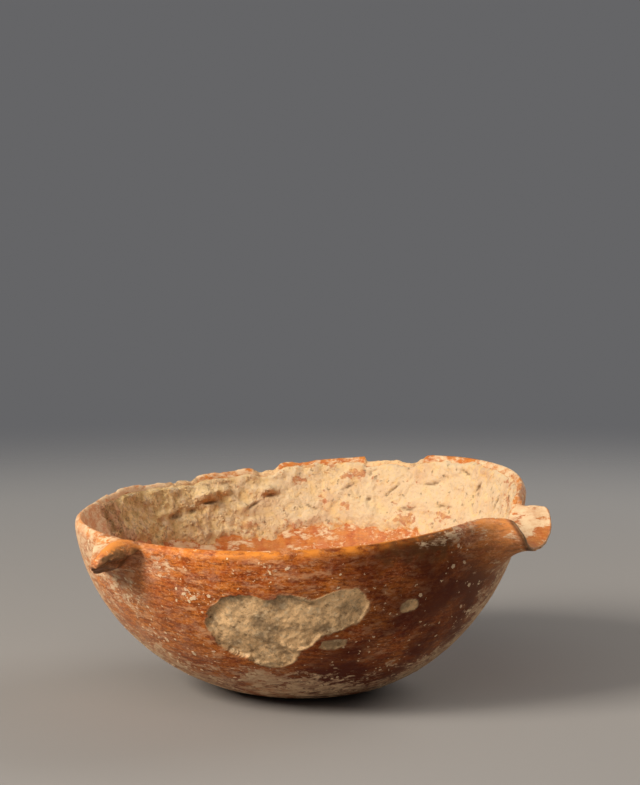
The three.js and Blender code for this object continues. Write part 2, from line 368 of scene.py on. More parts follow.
# Masks that the materials read, from 0 to 1
def outside_masks(angle, share, points):
    degrees = np.degrees(angle)
    broad = layered_noise(points, 16.0, 61, 3)
    patches = layered_noise(points, 36.0, 67, 4)
    low = ramp(-share + 0.06 * broad, -0.62, -0.3)
    left = 1 - ramp(np.abs(turn_from(angle, -172)) + 0.5 * patches, 0.1, 1.3)
    right = 1 - ramp(np.abs(turn_from(angle, -4)) + 0.5 * patches, 0.05, 0.9)
    behind = ramp(np.sin(angle), -0.3, 0.5)
    # The right side's film is partly pale lime, partly painted bounce light along the right contour
    film = 0.7 * low + 0.85 * left + 0.45 * right + 0.4 * broad + behind * (0.1 + 0.8 * patches)
    for weight, *spot in FILM_SPOTS:
        film += weight * blob(angle, share, *spot)
    sooty_and_shaded = ramp(degrees, -80, -66) * ramp(-degrees, 44, 54)
    soot = 0.75 * ramp(share, 0.8, 0.94) * sooty_and_shaded
    # Darker slip on the front right, towards the bottom and round heading -62: partly the slip's own darker
    # tone, partly painted shade on the side and bottom turned away from the key light
    dark = ramp(degrees, -108, -62) * ramp(-degrees, 5, 28) + 0.7 * low
    dark += 0.4 * blob(angle, share, -62, 0.45, 20, 14)
    # Less dark here, and lighter orange round heading -41, on the wall under the pouring lug's near side:
    # painted light on the lug's flank
    dark *= 1 - 0.85 * ramp(share, 0.84, 0.93) * ramp(degrees, -58, -45)
    wear = ramp(share, 0.945, 0.985) * (0.9 - 0.6 * sooty_and_shaded) * (1 + 0.6 * broad)
    wear += 0.7 * blob(angle, share, -41, 0.94, 10, 6)
    masks = {
        "film": np.minimum(film, 0.85),
        "soot": soot * (1 + 0.25 * broad),
        "dark": dark + 0.15 * broad,
        "wear": wear,
        # A pale wash on the left side, on the right side and round heading -13: partly pale film, partly
        # painted light on the lit left side and painted sheen along the right contour
        "veil": 0.3 * left + 0.3 * right + 0.35 * blob(angle, share, -13, 0.72, 9, 22),
    }
    return {name: np.clip(values, 0, 1) for name, values in masks.items()}


def inside_masks(angle, share, points):
    # Below the crust, lime still lies on the slip as a broken film; a pale veil lies on the upper left wall
    above = crust_edge(angle, share) + 9 * layered_noise(points, 11.0, 63, 4)
    behind = ramp(np.sin(angle), -0.6, 0.2)
    broad = layered_noise(points, 24.0, 65, 4)
    film = 0.26 + 0.3 * broad + lerp(0.12, 0.45, behind) * ramp(above, -12, 4)
    wear = 0.8 * ramp(share, 0.97, 0.985)
    veil = 1 - ramp(np.abs(turn_from(angle, 178)) + 0.6 * broad, 0.2, 0.9)
    veil *= 0.55 * ramp(share + 0.15 * broad, 0.62, 0.9)
    return {"film": film, "soot": 0, "dark": 0.35 * ramp(-above, 4, 18), "wear": wear, "veil": veil}


def wall_masks(angle, share, points, inside, top=1.0):
    # The masks of the outside, taken up to a top share, passing into those of the inside
    outer = outside_masks(angle, np.minimum(share, top), points)
    inner = inside_masks(angle, share, points)
    return {name: lerp(outer[name], inner[name], inside) for name in outer}


# Meshes
def new_piece(name, points, faces, material):
    mesh = bpy.data.meshes.new(name)
    mesh.from_pydata((points * MM).tolist(), [], faces)
    mesh.shade_smooth()
    if material:
        mesh.materials.append(material)
    piece = bpy.data.objects.new(name, mesh)
    bpy.context.scene.collection.objects.link(piece)
    return piece


def add_mask(piece, name, values):
    layer = piece.data.attributes.new(name, "FLOAT", "POINT")
    layer.data.foreach_set("value", np.asarray(values, dtype=np.float32))


# Node helpers, for Geometry Nodes and shaders
def add_input(tree, name, kind, value=None):
    socket = tree.interface.new_socket(name, in_out="INPUT", socket_type=kind)
    if value is not None:
        socket.default_value = value


def place_node(tree, kind, inputs=None, **settings):
    node = tree.nodes.new(kind)
    for name, value in settings.items():
        setattr(node, name, value)
    for key, value in (inputs or {}).items():
        if isinstance(value, bpy.types.NodeSocket):
            tree.links.new(value, node.inputs[key])
        else:
            node.inputs[key].default_value = value
    return node


def calc(tree, operation, first, second=0.0, third=0.0):
    inputs = {0: first, 1: second, 2: third}
    return place_node(tree, "ShaderNodeMath", inputs, operation=operation).outputs[0]


def times(tree, first, second):
    return calc(tree, "MULTIPLY", first, second)


def scaled(tree, value, factor, offset):
    return calc(tree, "MULTIPLY_ADD", value, factor, offset)


def vector(tree, x, y, z):
    return place_node(tree, "ShaderNodeCombineXYZ", {"X": x, "Y": y, "Z": z}).outputs[0]


def vector_times(tree, arrow, factor):
    inputs = {0: arrow, "Scale": factor}
    return place_node(tree, "ShaderNodeVectorMath", inputs, operation="SCALE").outputs[0]


def random_vector(tree, low, high, seed):
    inputs = {0: low, 1: high, 8: seed}
    return place_node(tree, "FunctionNodeRandomValue", inputs, data_type="FLOAT_VECTOR").outputs[0]


def set_input(modifier, name, value):
    for item in modifier.node_group.interface.items_tree:
        if item.name == name and item.in_out == "INPUT":
            modifier[item.identifier] = value


def ended_tree(tree, start, geometry):
    # Ends a tree with real geometry in the material of its input
    real = place_node(tree, "GeometryNodeRealizeInstances", {0: geometry})
    painted = place_node(tree, "GeometryNodeSetMaterial", {
        "Geometry": real.outputs[0], "Material": start.outputs["Material"],
    })
    end = tree.nodes.new("NodeGroupOutput")
    tree.links.new(painted.outputs[0], end.inputs[0])
    return tree


def made_plain(piece):
    # Turns what the modifiers make into the piece's own mesh
    graph = bpy.context.evaluated_depsgraph_get()
    mesh = bpy.data.meshes.new_from_object(piece.evaluated_get(graph), depsgraph=graph)
    piece.modifiers.clear()
    piece.data = mesh
    return piece


# Geometry Nodes: a section turned round the axis, waved and leaning
def wave_sum(tree, start, name, angle):
    total = start.outputs[name]
    double = times(tree, angle, 2.0)
    for term, turn in (("cos 1", angle), ("sin 1", angle), ("cos 2", double), ("sin 2", double)):
        operation = "COSINE" if term.startswith("cos") else "SINE"
        swing = calc(tree, operation, turn)
        total = scaled(tree, start.outputs[f"{name} {term}"], swing, total)
    return total


def turned_bowl_tree():
    tree = bpy.data.node_groups.new("turned bowl", "GeometryNodeTree")
    add_input(tree, "Section", "NodeSocketGeometry")
    add_input(tree, "Columns", "NodeSocketInt", COLUMNS)
    add_input(tree, "Material", "NodeSocketMaterial")
    for name in ("Rest radius", "Rim radius", "Rim height", "Lean x", "Lean y"):
        add_input(tree, name, "NodeSocketFloat")
    for name in ("Rim radius", "Rim height"):
        for term in RADIUS_WAVE:
            add_input(tree, f"{name} {term}", "NodeSocketFloat")
    tree.interface.new_socket("Bowl", in_out="OUTPUT", socket_type="NodeSocketGeometry")
    start = tree.nodes.new("NodeGroupInput")
    section = start.outputs["Section"]

    rows = place_node(tree, "GeometryNodeAttributeDomainSize", {0: section}).outputs["Point Count"]
    grid = place_node(tree, "GeometryNodeMeshGrid", {
        "Size X": 1.0, "Size Y": 1.0, "Vertices X": start.outputs["Columns"], "Vertices Y": rows,
    })
    index = tree.nodes.new("GeometryNodeInputIndex").outputs[0]
    column = calc(tree, "FLOOR", calc(tree, "DIVIDE", calc(tree, "ADD", index, 0.5), rows))
    row = calc(tree, "SUBTRACT", index, times(tree, column, rows))
    here = tree.nodes.new("GeometryNodeInputPosition").outputs[0]
    sampled = {0: section, 1: here, 2: row}
    spot = place_node(
        tree, "GeometryNodeSampleIndex", sampled, data_type="FLOAT_VECTOR", domain="POINT",
    ).outputs[0]
    parts = place_node(tree, "ShaderNodeSeparateXYZ", {0: spot})
    radius = parts.outputs["X"]
    height = parts.outputs["Z"]

    turn = calc(tree, "DIVIDE", column, start.outputs["Columns"])
    angle = scaled(tree, turn, 2 * math.pi, math.pi / 2)
    rest = start.outputs["Rest radius"]
    span = calc(tree, "SUBTRACT", start.outputs["Rim radius"], rest)
    spread = calc(tree, "DIVIDE", calc(tree, "SUBTRACT", radius, rest), span)
    spread = place_node(tree, "ShaderNodeClamp", {0: spread}).outputs[0]
    growth = calc(tree, "SUBTRACT", wave_sum(tree, start, "Rim radius", angle), start.outputs["Rim radius"])
    grown = scaled(tree, growth, spread, radius)
    lift = calc(tree, "DIVIDE", wave_sum(tree, start, "Rim height", angle), start.outputs["Rim height"])
    inward = calc(tree, "MINIMUM", calc(tree, "DIVIDE", radius, rest), 1.0)
    lift = scaled(tree, calc(tree, "SUBTRACT", lift, 1.0), inward, 1.0)
    lean_x = times(tree, start.outputs["Lean x"], spread)
    lean_y = times(tree, start.outputs["Lean y"], spread)
    place = vector(
        tree,
        scaled(tree, grown, calc(tree, "COSINE", angle), lean_x),
        scaled(tree, grown, calc(tree, "SINE", angle), lean_y),
        times(tree, height, lift),
    )
    moved = place_node(tree, "GeometryNodeSetPosition", {
        "Geometry": grid.outputs["Mesh"], "Position": place,
    })
    return ended_tree(tree, start, moved.outputs[0])


# The bowl's section as rows, from under the rest spot, over the lip, to the middle of the floor
def even_rows(curve, first, last, spacing):
    shares = np.linspace(first, last, 400)
    steps = np.linalg.norm(np.diff(curve(shares), axis=0), axis=1)
    length = np.concatenate([[0], np.cumsum(steps)])
    count = max(2, round(length[-1] / spacing))
    return np.interp(np.linspace(0, length[-1], count + 1), length, shares)


def crown_rows():
    half = LIP / 2
    middle = half * np.cos(np.linspace(0, np.pi, CROWN_ROWS + 1))[1:-1]
    inset = np.abs(middle) - half
    soft = lip_round(middle)
    height = RIM_HEIGHT + inset + 2 * np.sqrt(-soft * inset) - soft
    return np.stack([outer_radius(height) - half + middle, height], -1)


def bowl_rows():
    lip_share = float(share_at(RIM_HEIGHT - LIP_ROUND_OUT))
    inner_lip = float(np.interp(RIM_HEIGHT - LIP_ROUND_IN, INSIDE[:, 1], SHARES))
    outer_ends = [0.0, *JOINTS, lip_share]
    inner_ends = [inner_lip, *[joint - JOINT_SLANT for joint in reversed(JOINTS)], FLOOR_SHARE]
    points = [np.stack([np.linspace(POLE_RING, REST_RADIUS, FLAT_ROWS), np.zeros(FLAT_ROWS)], -1)]
    shares = [np.zeros(FLAT_ROWS)]
    joint_rows = {"outer": [], "inner": []}

    def add_strip(side, curve, rows):
        points.append(curve(rows))
        shares.append(rows)
        joint_rows[side].append(sum(len(part) for part in shares) - 1)

    for strip in range(STRIPS):
        spacing = BASE_SPACING if strip == 0 else OUTER_SPACING
        rows = even_rows(outer_section, outer_ends[strip], outer_ends[strip + 1], spacing)
        add_strip("outer", outer_section, rows[1:])
    crown = crown_rows()
    points.append(crown)
    shares.append(lerp(1, lip_share, np.clip((RIM_HEIGHT - crown[:, 1]) / LIP_ROUND_OUT, 0, 1)))
    lip_row = sum(len(part) for part in shares) - CROWN_ROWS // 2
    for strip in range(STRIPS):
        spacing = FLOOR_SPACING if strip == STRIPS - 1 else INNER_SPACING
        rows = even_rows(inner_section, inner_ends[strip], inner_ends[strip + 1], spacing)
        add_strip("inner", inner_section, rows if strip == 0 else rows[1:])
    last = points[-1][-1]
    floor_radius = np.linspace(last[0], POLE_RING, FLAT_ROWS)[1:]
    points.append(np.stack([floor_radius, np.full(FLAT_ROWS - 1, last[1])], -1))
    shares.append(np.zeros(FLAT_ROWS - 1))
    return np.concatenate(points), np.concatenate(shares), joint_rows, lip_row


def turned_bowl(section, material):
    mesh = bpy.data.meshes.new("section")
    places = np.stack([section[:, 0], np.zeros(len(section)), section[:, 1]], -1) * MM
    mesh.from_pydata(places.tolist(), [(row, row + 1) for row in range(len(section) - 1)], [])
    blank = bpy.data.objects.new("section", mesh)
    bpy.context.scene.collection.objects.link(blank)
    modifier = blank.modifiers.new("turned bowl", "NODES")
    modifier.node_group = turned_bowl_tree()
    sizes = {"Rest radius": REST_RADIUS, "Rim radius": RIM_RADIUS, "Rim height": RIM_HEIGHT}
    sizes.update({"Lean x": LEAN[0], "Lean y": LEAN[1]})
    for name, terms in (("Rim radius", RADIUS_WAVE), ("Rim height", HEIGHT_WAVE)):
        sizes.update({f"{name} {term}": value for term, value in terms.items()})
    for name, value in sizes.items():
        set_input(modifier, name, float(value) * MM)
    set_input(modifier, "Columns", COLUMNS)
    set_input(modifier, "Material", material)
    made_plain(blank)
    points = np.empty(len(blank.data.vertices) * 3, dtype=np.float32)
    blank.data.vertices.foreach_get("co", points)
    bpy.data.objects.remove(blank)
    return points.reshape(COLUMNS, len(section), 3).transpose(1, 0, 2).astype(float) / MM


def grid_normals(points):
    around = np.roll(points, -1, axis=1) - np.roll(points, 1, axis=1)
    along = np.gradient(points, axis=0)
    normals = np.cross(around, along)
    return normals / np.maximum(np.linalg.norm(normals, axis=-1, keepdims=True), 1e-9)


class Bowl:
    """The whole wall as one grid of points, row by row, before it is parted at the clay strips' joints."""

    def __init__(self, material):
        section, shares, self.joint_rows, self.lip_row = bowl_rows()
        points = turned_bowl(section, material)
        self.angle = np.arctan2(points[..., 1] - LEAN[1], points[..., 0] - LEAN[0])
        near_axis = section[:, 0] < AXIS_REACH
        self.angle[near_axis] = np.arctan2(points[..., 1], points[..., 0])[near_axis]
        self.share = np.repeat(shares[:, None], COLUMNS, axis=1)
        self.inside = np.zeros_like(self.share)
        self.inside[self.lip_row:] = 1
        self.rise = np.clip((section[:, 1] / RIM_HEIGHT - DIP_START) / (1 - DIP_START), 0, 1)[:, None]
        self.points = self.shaped(points)
        self.normals = grid_normals(self.points)

    def shaped(self, points):
        normals = grid_normals(points)
        ring = self.angle[self.lip_row]
        calm = ramp(points[..., 2], 1.0, 6.0)
        relief = unevenness(points) * calm
        front = (np.abs(turn_from(self.angle, -85)) < 0.8) & (self.inside == 0) & (self.share > 0.4)
        depth, mask = scar_depths(self.angle[front], self.share[front], points[front])
        relief[front] -= depth
        loss = lip_loss(self.angle)
        self.raw = self.rise * ramp(loss, 0.35, 0.9) * ramp(self.share, 0.93, 0.985)
        self.raw[front] = np.maximum(self.raw[front], mask)
        broken = (self.rise > 0) & (loss > 0.2)
        crumbs = 0.3 * layered_noise(points[broken], 1.8, 71, 2)
        relief[broken] += crumbs * (self.rise * ramp(loss, 0.2, 0.8))[broken]
        moved = points + normals * relief[..., None]
        moved[..., 2] -= lip_dip(ring)[None, :] * self.rise
        return moved


# Pieces of the wall
def ring_faces(rows, closed):
    columns = np.arange(COLUMNS)
    following = (columns + 1) % COLUMNS
    faces = []
    count = len(rows)
    for place in range(count if closed else count - 1):
        low = place * COLUMNS
        high = ((place + 1) % count) * COLUMNS
        faces.append(np.stack([low + columns, low + following, high + following, high + columns], -1))
    return np.concatenate(faces).tolist()


def wall_piece(bowl, name, rows, material, closed=True):
    faces = ring_faces(rows, closed)
    if not closed:
        # Fills the small rings round the axis, under the base and on the floor
        last = (len(rows) - 1) * COLUMNS
        faces.append(list(range(COLUMNS))[::-1])
        faces.append(list(range(last, last + COLUMNS)))
    points = bowl.points[rows].reshape(-1, 3)
    piece = new_piece(name, points, faces, material)
    piece.data.normals_split_custom_set_from_vertices(bowl.normals[rows].reshape(-1, 3).tolist())
    inside = bowl.inside[rows].ravel()
    add_mask(piece, "raw", bowl.raw[rows].ravel())
    add_mask(piece, "inside", inside)
    masks = wall_masks(bowl.angle[rows].ravel(), bowl.share[rows].ravel(), points, inside)
    for mask, values in masks.items():
        add_mask(piece, mask, values)
    return piece


def strip_rows(bowl, strip):
    # The rows of one strip, up its outer face and then down its inner face
    outer = bowl.joint_rows["outer"]
    inner = bowl.joint_rows["inner"][::-1]
    if strip == 0:
        return [*range(outer[0] + 1), *range(inner[1], len(bowl.points))]
    if strip == STRIPS - 1:
        return [*range(outer[strip - 1], inner[strip] + 1)]
    upward = range(outer[strip - 1], outer[strip] + 1)
    downward = range(inner[strip + 1], inner[strip] + 1)
    return [*upward, *downward]


# Lugs: clay drawn out of the wall, given by a field that is negative in the clay
def lug_axes(points, lug):
    heading = math.radians(lug["heading"])
    flat = points[:, :2] - LEAN
    along = flat @ np.array([math.cos(heading), math.sin(heading)]) - rim_radius(heading)
    across = flat @ np.array([-math.sin(heading), math.cos(heading)])
    return along, across


def trough(across, under, half, depth):
    ratio = (np.abs(across) / half) ** 2.5 + (np.maximum(under, 0) / depth) ** 2.5
    return (ratio ** 0.4 - 1) * np.minimum(half, depth)


def pouring_reach(lug, across, height):
    # How far out the trough reaches: less at its lips than underneath
    side = np.clip(across / lug["tip half"], -1, 1)
    under = np.clip((lug_lip(lug) - height) / 9, 0, 1)
    lip_reach = lerp(lug["near reach"], lug["far reach"], (side + 1) / 2)
    return lerp(lug["tip reach"], lip_reach, (1 - under) ** 2)


def pouring_form(lug, along, across, height, crumbs):
    # An open trough: its clay, the height of its lips, and its channel
    far = ramp(across, -4, 4)
    reach = pouring_reach(lug, across, height)
    share = np.clip(smooth_max(along + 2, 0, 2.5) / (reach + 2), 0, 1)
    flare = (1 - share) ** lerp(2.2, 3.5, far)
    root_half = lerp(lug["near root half"], lug["far root half"], far)
    half = lerp(lug["tip half"], root_half, flare)
    depth = lerp(lug["depth"], lug["root depth"], flare)
    lip = lug_lip(lug) + lug["tilt"] * across - lug["droop"] * share ** 1.5
    crumbs = 0.6 * crumbs * ramp(share, 0.6, 0.95)
    body = trough(across, lip - height, half, depth) + 0.5 * crumbs
    body = smooth_max(body, along - reach + crumbs, 0.8)
    dish = lerp(lug["dish"], lug["mouth dish"], share)
    edge = lerp(lug["edge"], lug["mouth edge"], ramp(share, 0.3, 1))
    channel = trough(across, lip - height, lug["tip half"] - edge, dish)
    return body, lip, np.maximum(channel, -30 - along)


def tongue_lines(lug, along):
    # How far along the tongue a place is, and where its right edge, its crest and its left edge run there
    share = np.clip((along + 1) / (lug["reach"] + 1), 0, 1)
    right = lerp(lug["root right"], lug["tip right"], share)
    left = lerp(lug["root left"], lug["tip left"], share)
    return share, right, right - lug["roll"] * (1 - 0.5 * share), left


def tongue_form(lug, along, across, height, crumbs):
    # A drooping tongue: a crest that rolls over to a broken right edge, and a dished slope to its left
    share, right, crest, left = tongue_lines(lug, along)
    high = lug_lip(lug) + lug["rise"] * 4 * share * (1 - share) - lug["droop"] * share ** 4
    low = lug_lip(lug) - lerp(lug["left drop"], lug["droop"], share)
    over = np.clip((across - crest) / (right - crest), 0, 1.2)
    beside = np.clip((crest - across) / (crest - left), 0, 1)
    lip = lerp(low, high, (1 - beside) ** 1.8) - lug["fall"] * over ** 2 * (1 - share ** 3)
    edge = lerp(lug["root edge"], lug["edge"], ramp(share, 0.05, 0.5)) * (1 - 0.35 * share ** 3)
    depth = edge + np.clip(lug["under slope"] * (right - across), 0, 9 * (1 - share) ** 1.5)
    crumbs = crumbs * ramp(share, 0.1, 0.3)
    sides = np.maximum(across - right + crumbs, left - across)
    body = smooth_max(sides, lip - height - depth + crumbs, 1.2)
    body = smooth_max(body, along - lug["reach"] + 0.05 * across ** 2, 1.4)
    return body, lip, np.full(len(across), 100.0)


POURING_LUG["form"] = pouring_form
TONGUE_LUG["form"] = tongue_form


def clay_sides(points, lug):
    # How far points lie outside the outer face, the inner face and the top of the clay
    angle, radius, height = wall_place(points)
    outer = (radius - outer_radius(height)) * wall_tilt(height)
    inner = (radius - inner_radius(height)) * wall_tilt(height)
    along, across = lug_axes(points, lug)
    crumbs = np.zeros(len(points))
    outstanding = along > 1
    crumbs[outstanding] = 0.35 * layered_noise(points[outstanding], 1.6, 81, 2)
    body, lip, channel = lug["form"](lug, along, across, points[:, 2], crumbs)
    top = lerp(lip_top(angle), lip, ramp(along, -0.5, 2.5))
    fillet = lerp(lug["near fillet"], lug["far fillet"], ramp(across, -4, 4))
    return smooth_min(outer, body, fillet), smooth_min(inner, channel, 3.0), points[:, 2] - top, along


def clay_field(points, lug):
    outer, inner, above, along = clay_sides(points, lug)
    soft = lerp(lip_round((outer + inner) / 2), 1.4, ramp(along, 0, 4))
    return smooth_max(np.maximum(outer, -inner), above, soft)


def zone_edge(points, lug):
    # 0 at a lug's middle, 1 where its smeared clay ends on the wall
    _, across = lug_axes(points, lug)
    under = np.maximum(lug_lip(lug) - points[:, 2], 0)
    return np.hypot(across / lug["zone"], under / (lug["zone"] * 0.9))


def lug_field(points, lug):
    edge = zone_edge(points, lug)
    skin = lerp(SKIN, -2 * SKIN, ramp(edge, 0.72, 0.95))
    return np.maximum(clay_field(points, lug) - skin, (edge - 1) * 12)


def surface_net(values):
    # Points, in cells, and quads of the surface where a grid of values changes sign
    inside = values < 0
    size = np.array(values.shape) - 1
    total = np.zeros((*size, 3))
    count = np.zeros(size)
    corners = list(np.ndindex(2, 2, 2))

    def corner_values(corner):
        return values[tuple(slice(c, c + s) for c, s in zip(corner, size))]

    for first in corners:
        for axis in range(3):
            if first[axis]:
                continue
            second = tuple(1 if place == axis else part for place, part in enumerate(first))
            start = corner_values(first)
            finish = corner_values(second)
            crossed = (start < 0) != (finish < 0)
            share = start[crossed] / (start[crossed] - finish[crossed])
            place = np.repeat(np.array(first, dtype=float)[None], len(share), axis=0)
            place[:, axis] = share
            total[crossed] += place
            count[crossed] += 1
    active = count > 0
    numbers = np.full(size, -1)
    numbers[active] = np.arange(active.sum())
    points = total[active] / count[active][:, None] + np.argwhere(active)

    quads = []
    for axis in range(3):
        second, third = (axis + 1) % 3, (axis + 2) % 3
        span = [slice(1, -1)] * 3
        span[axis] = slice(None, -1)
        ahead = list(span)
        ahead[axis] = slice(1, None)
        before = inside[tuple(span)]
        after = inside[tuple(ahead)]
        places = np.argwhere(before != after) + np.where(np.arange(3) == axis, 0, 1)
        leaving = before[before != after]
        step_second = np.where(np.arange(3) == second, 1, 0)
        step_third = np.where(np.arange(3) == third, 1, 0)
        ring = [places - step_second - step_third, places - step_third, places, places - step_second]
        quad = np.stack([numbers[tuple(cell.T)] for cell in ring], -1)
        quad[~leaving] = quad[~leaving][:, ::-1]
        quads.append(quad)
    return points, np.concatenate(quads)


def settled(points, lug):
    # Moves points of the net on to the field's own surface, and gives the normals there
    reach = 0.05
    for _ in range(2):
        value = lug_field(points, lug)
        slope = np.empty_like(points)
        for axis in range(3):
            step = np.where(np.arange(3) == axis, reach, 0)
            slope[:, axis] = (lug_field(points + step, lug) - lug_field(points - step, lug)) / (2 * reach)
        steep = np.maximum((slope * slope).sum(-1), 0.3)
        points = points - slope * np.clip(value / steep, -0.3, 0.3)[:, None]
    return points, slope / np.maximum(np.linalg.norm(slope, axis=-1, keepdims=True), 1e-9)


def lug_forward(lug):
    heading = math.radians(lug["heading"])
    return np.array([math.cos(heading), math.sin(heading), 0])


def lug_net(lug):
    # Points of a lug's surface, their normals and the quads between them, from a grid in a box round it
    heading = math.radians(lug["heading"])
    forward = lug_forward(lug)
    sideways = np.array([-math.sin(heading), math.cos(heading), 0])
    upward = np.array([0, 0, 1])
    zone = lug["zone"] + 1
    lows = np.array([-0.62 * zone, -zone, lug_lip(lug) - 0.92 * zone])
    highs = np.array([16, zone, lug_lip(lug) + 6])
    counts = np.ceil((highs - lows) / NET_STEP).astype(int) + 1
    root = np.array([*LEAN, 0]) + forward * (rim_radius(heading) + lows[0])
    start = root + sideways * lows[1] + upward * lows[2]
    cells = np.stack(np.meshgrid(*[np.arange(count) for count in counts], indexing="ij"), -1)
    frame_axes = np.stack([forward, sideways, upward]) * NET_STEP
    grid = cells.reshape(-1, 3) @ frame_axes + start
    values = lug_field(grid, lug).reshape(counts)
    for axis in range(3):
        # Keeps the sides of the box out of the clay, so that the surface closes
        edges = [slice(None)] * 3
        for end in (0, -1):
            edges[axis] = end
            values[tuple(edges)] = np.maximum(values[tuple(edges)], 0.2)
    net, quads = surface_net(values)
    points, normals = settled(net @ frame_axes + start, lug)
    return points, normals, quads


def pouring_masks(lug, points, normals, inside, masks):
    # The trough is worn and filmed, its mouth bare, and its broken near end dark: partly the dark clay of
    # the break, partly painted shade
    along, across = lug_axes(points, lug)
    height = points[:, 2]
    outside = 1 - inside
    raw = 0.25 * ramp(along, lug["near reach"], lug["far reach"])
    raw = raw * ramp(normals @ lug_forward(lug), 0.3, 0.6)
    mouth = ramp(along, 4, 7.5) * ramp(-height, -61, -57.5)
    film = lerp(masks["film"], 0.9 - 0.7 * mouth, inside * ramp(along, -8, 0))
    # Next to the wall the lug's side is lighter orange, paler and a little filmed, and cleared of dark and
    # sooted brown: painted light on its flank
    lug_side = ramp(along, -10, -3) * (1 - ramp(zone_edge(points, lug), 0.45, 0.75))
    film = film + 0.08 * lug_side * outside
    wear = lug_side * lerp(0.85, 0.35, ramp(lug_lip(lug) - height, 1.5, 6)) * outside
    from_end = pouring_reach(lug, across, height) - along
    broken = (1 - ramp(from_end, 0.9, 2.3)) * ramp(-across, 1, 6) * outside
    return {
        "film": film * (1 - broken),
        "soot": np.maximum(masks["soot"] * (1 - lug_side), 0.85 * broken),
        "dark": np.maximum(masks["dark"] * (1 - lug_side), broken),
        "wear": wear * (1 - broken),
        "veil": np.maximum(masks["veil"], 0.25 * lug_side * outside),
        "raw": raw,
        "inside": inside,
    }


def tongue_masks(lug, points, normals, inside, masks):
    # The tongue's top is filmed, its rolled crest worn, its underside darkened as painted shade, and its
    # broken edge dark: partly the brown clay of the break, partly painted shade
    along, across = lug_axes(points, lug)
    _, right, crest, _ = tongue_lines(lug, along)
    topside = ramp(normals[:, 2], 0.2, 0.5) * ramp(along, -2, 1)
    rolled = ramp(across, crest - 2.2, crest - 0.8)
    broken = ramp(along, 1.0, 2.5) * ramp(across, right - 0.8, right - 0.2) * (1 - topside)
    # The underside, darkened with brown and deep red as painted shade
    beneath = ramp(along, 0.5, 2.5) * ramp(-normals[:, 2], -0.1, 0.3) * (1 - topside)
    film = masks["film"] * (1 - np.maximum(broken, beneath))
    return {
        "film": lerp(film, 0.72 - 0.5 * rolled, topside),
        "soot": np.maximum(masks["soot"], np.maximum(0.85 * broken, 0.8 * beneath)),
        "dark": np.maximum(masks["dark"], beneath),
        "wear": np.maximum(masks["wear"], topside * rolled),
        "veil": masks["veil"],
        "raw": 0.12 * broken,
        "inside": np.maximum(inside, topside) * (1 - 0.7 * rolled),
    }


POURING_LUG["masks"] = pouring_masks
TONGUE_LUG["masks"] = tongue_masks


def lug_piece(name, lug, material):
    points, normals, quads = lug_net(lug)
    angle, _, height = wall_place(points)
    outer, inner, _, _ = clay_sides(points, lug)
    inside = ramp(-outer - inner, -0.4, 0.8)
    masks = wall_masks(angle, share_at(height), points, inside, top=0.97)
    masks = lug["masks"](lug, points, normals, inside, masks)
    points = points + normals * (unevenness(points) * (1 - masks["raw"]))[:, None]
    piece = new_piece(name, points, quads.tolist(), material)
    for mask, values in masks.items():
        add_mask(piece, mask, values)
    return piece


# Lime crust on the inside: a patch of the wall's own grid, lifted by its thickness
# Its first and last heading, the lowest share of the rise, how deep its back is sunk and its face is set in
CRUST_FROM = -25
CRUST_TO = 175
CRUST_LOW = 0.545
CRUST_BACK = 0.9
CRUST_SINK = 0.22
# Rows under the lip over which the crust thins out
CRUST_TOP_ROWS = 4
# The crust's lower edge: headings, and the share of the rise at each
CRUST_EDGE_HEADINGS = [-25, 5, 25, 33, 45, 80, 100, 120, 145, 175]
CRUST_EDGE_SHARES = [0.585, 0.58, 0.60, 0.65, 0.72, 0.715, 0.70, 0.71, 0.76, 0.85]
# Lumps, the hollows under them, and pits: heading, share of the rise, half width, half height and thickness
CRUST_SPOTS = [
    (119.3, 0.898, 4.8, 2.8, 2.9),
    (117.8, 0.864, 3.2, 0.7, -1.8),
    (113.5, 0.905, 2.8, 2.0, 1.6),
    (100.0, 0.885, 4.0, 2.2, 2.4),
    (98.5, 0.860, 2.4, 0.6, -1.6),
    (133.0, 0.86, 5.0, 3.0, 1.2),
    (130.5, 0.832, 3.0, 1.1, -0.9),
    (108.0, 0.82, 4.0, 2.6, 1.0),
    (125.0, 0.80, 3.0, 2.4, 1.0),
    (92.0, 0.84, 3.4, 2.4, 0.9),
    (68.0, 0.817, 0.9, 0.9, -1.6),
    (124.0, 0.84, 1.6, 1.0, -1.0),
]
# Heading, share of the rise, half length, tilt and depth of the cracks under loose flakes
CRUST_CRACKS = [
    (47.0, 0.882, 4.4, 15, 1.0),
    (60.5, 0.853, 3.2, 40, 0.8),
    (54.5, 0.784, 3.4, 5, 0.7),
    (41.0, 0.80, 4.8, 6, 0.8),
    (27.0, 0.887, 2.8, 60, 0.7),
    (14.0, 0.86, 3.2, 70, 0.7),
    (34.0, 0.93, 3.0, -20, 0.6),
    (75.0, 0.87, 3.0, 20, 0.6),
    (86.0, 0.80, 3.4, -30, 0.7),
    (104.0, 0.83, 3.0, 25, 0.8),
]
# Heading, share of the rise, half width and half height of the red stains
CRUST_STAINS = [
    (89.5, 0.912, 4.0, 1.2),
    (82.0, 0.825, 2.4, 3.0),
    (76.0, 0.79, 3.0, 2.5),
    (73.0, 0.92, 7.0, 2.5),
    (84.0, 0.965, 6.0, 1.6),
    (106.0, 0.75, 5.0, 3.0),
    (92.0, 0.73, 5.0, 2.6),
    (40.0, 0.76, 6.0, 2.0),
    (55.0, 0.745, 7.0, 2.4),
    (8.0, 0.955, 7.0, 1.8),
    (-6.0, 0.93, 4.0, 5.0),
    (2.0, 0.90, 5.0, 6.0),
    (142.0, 0.80, 7.0, 3.0),
]


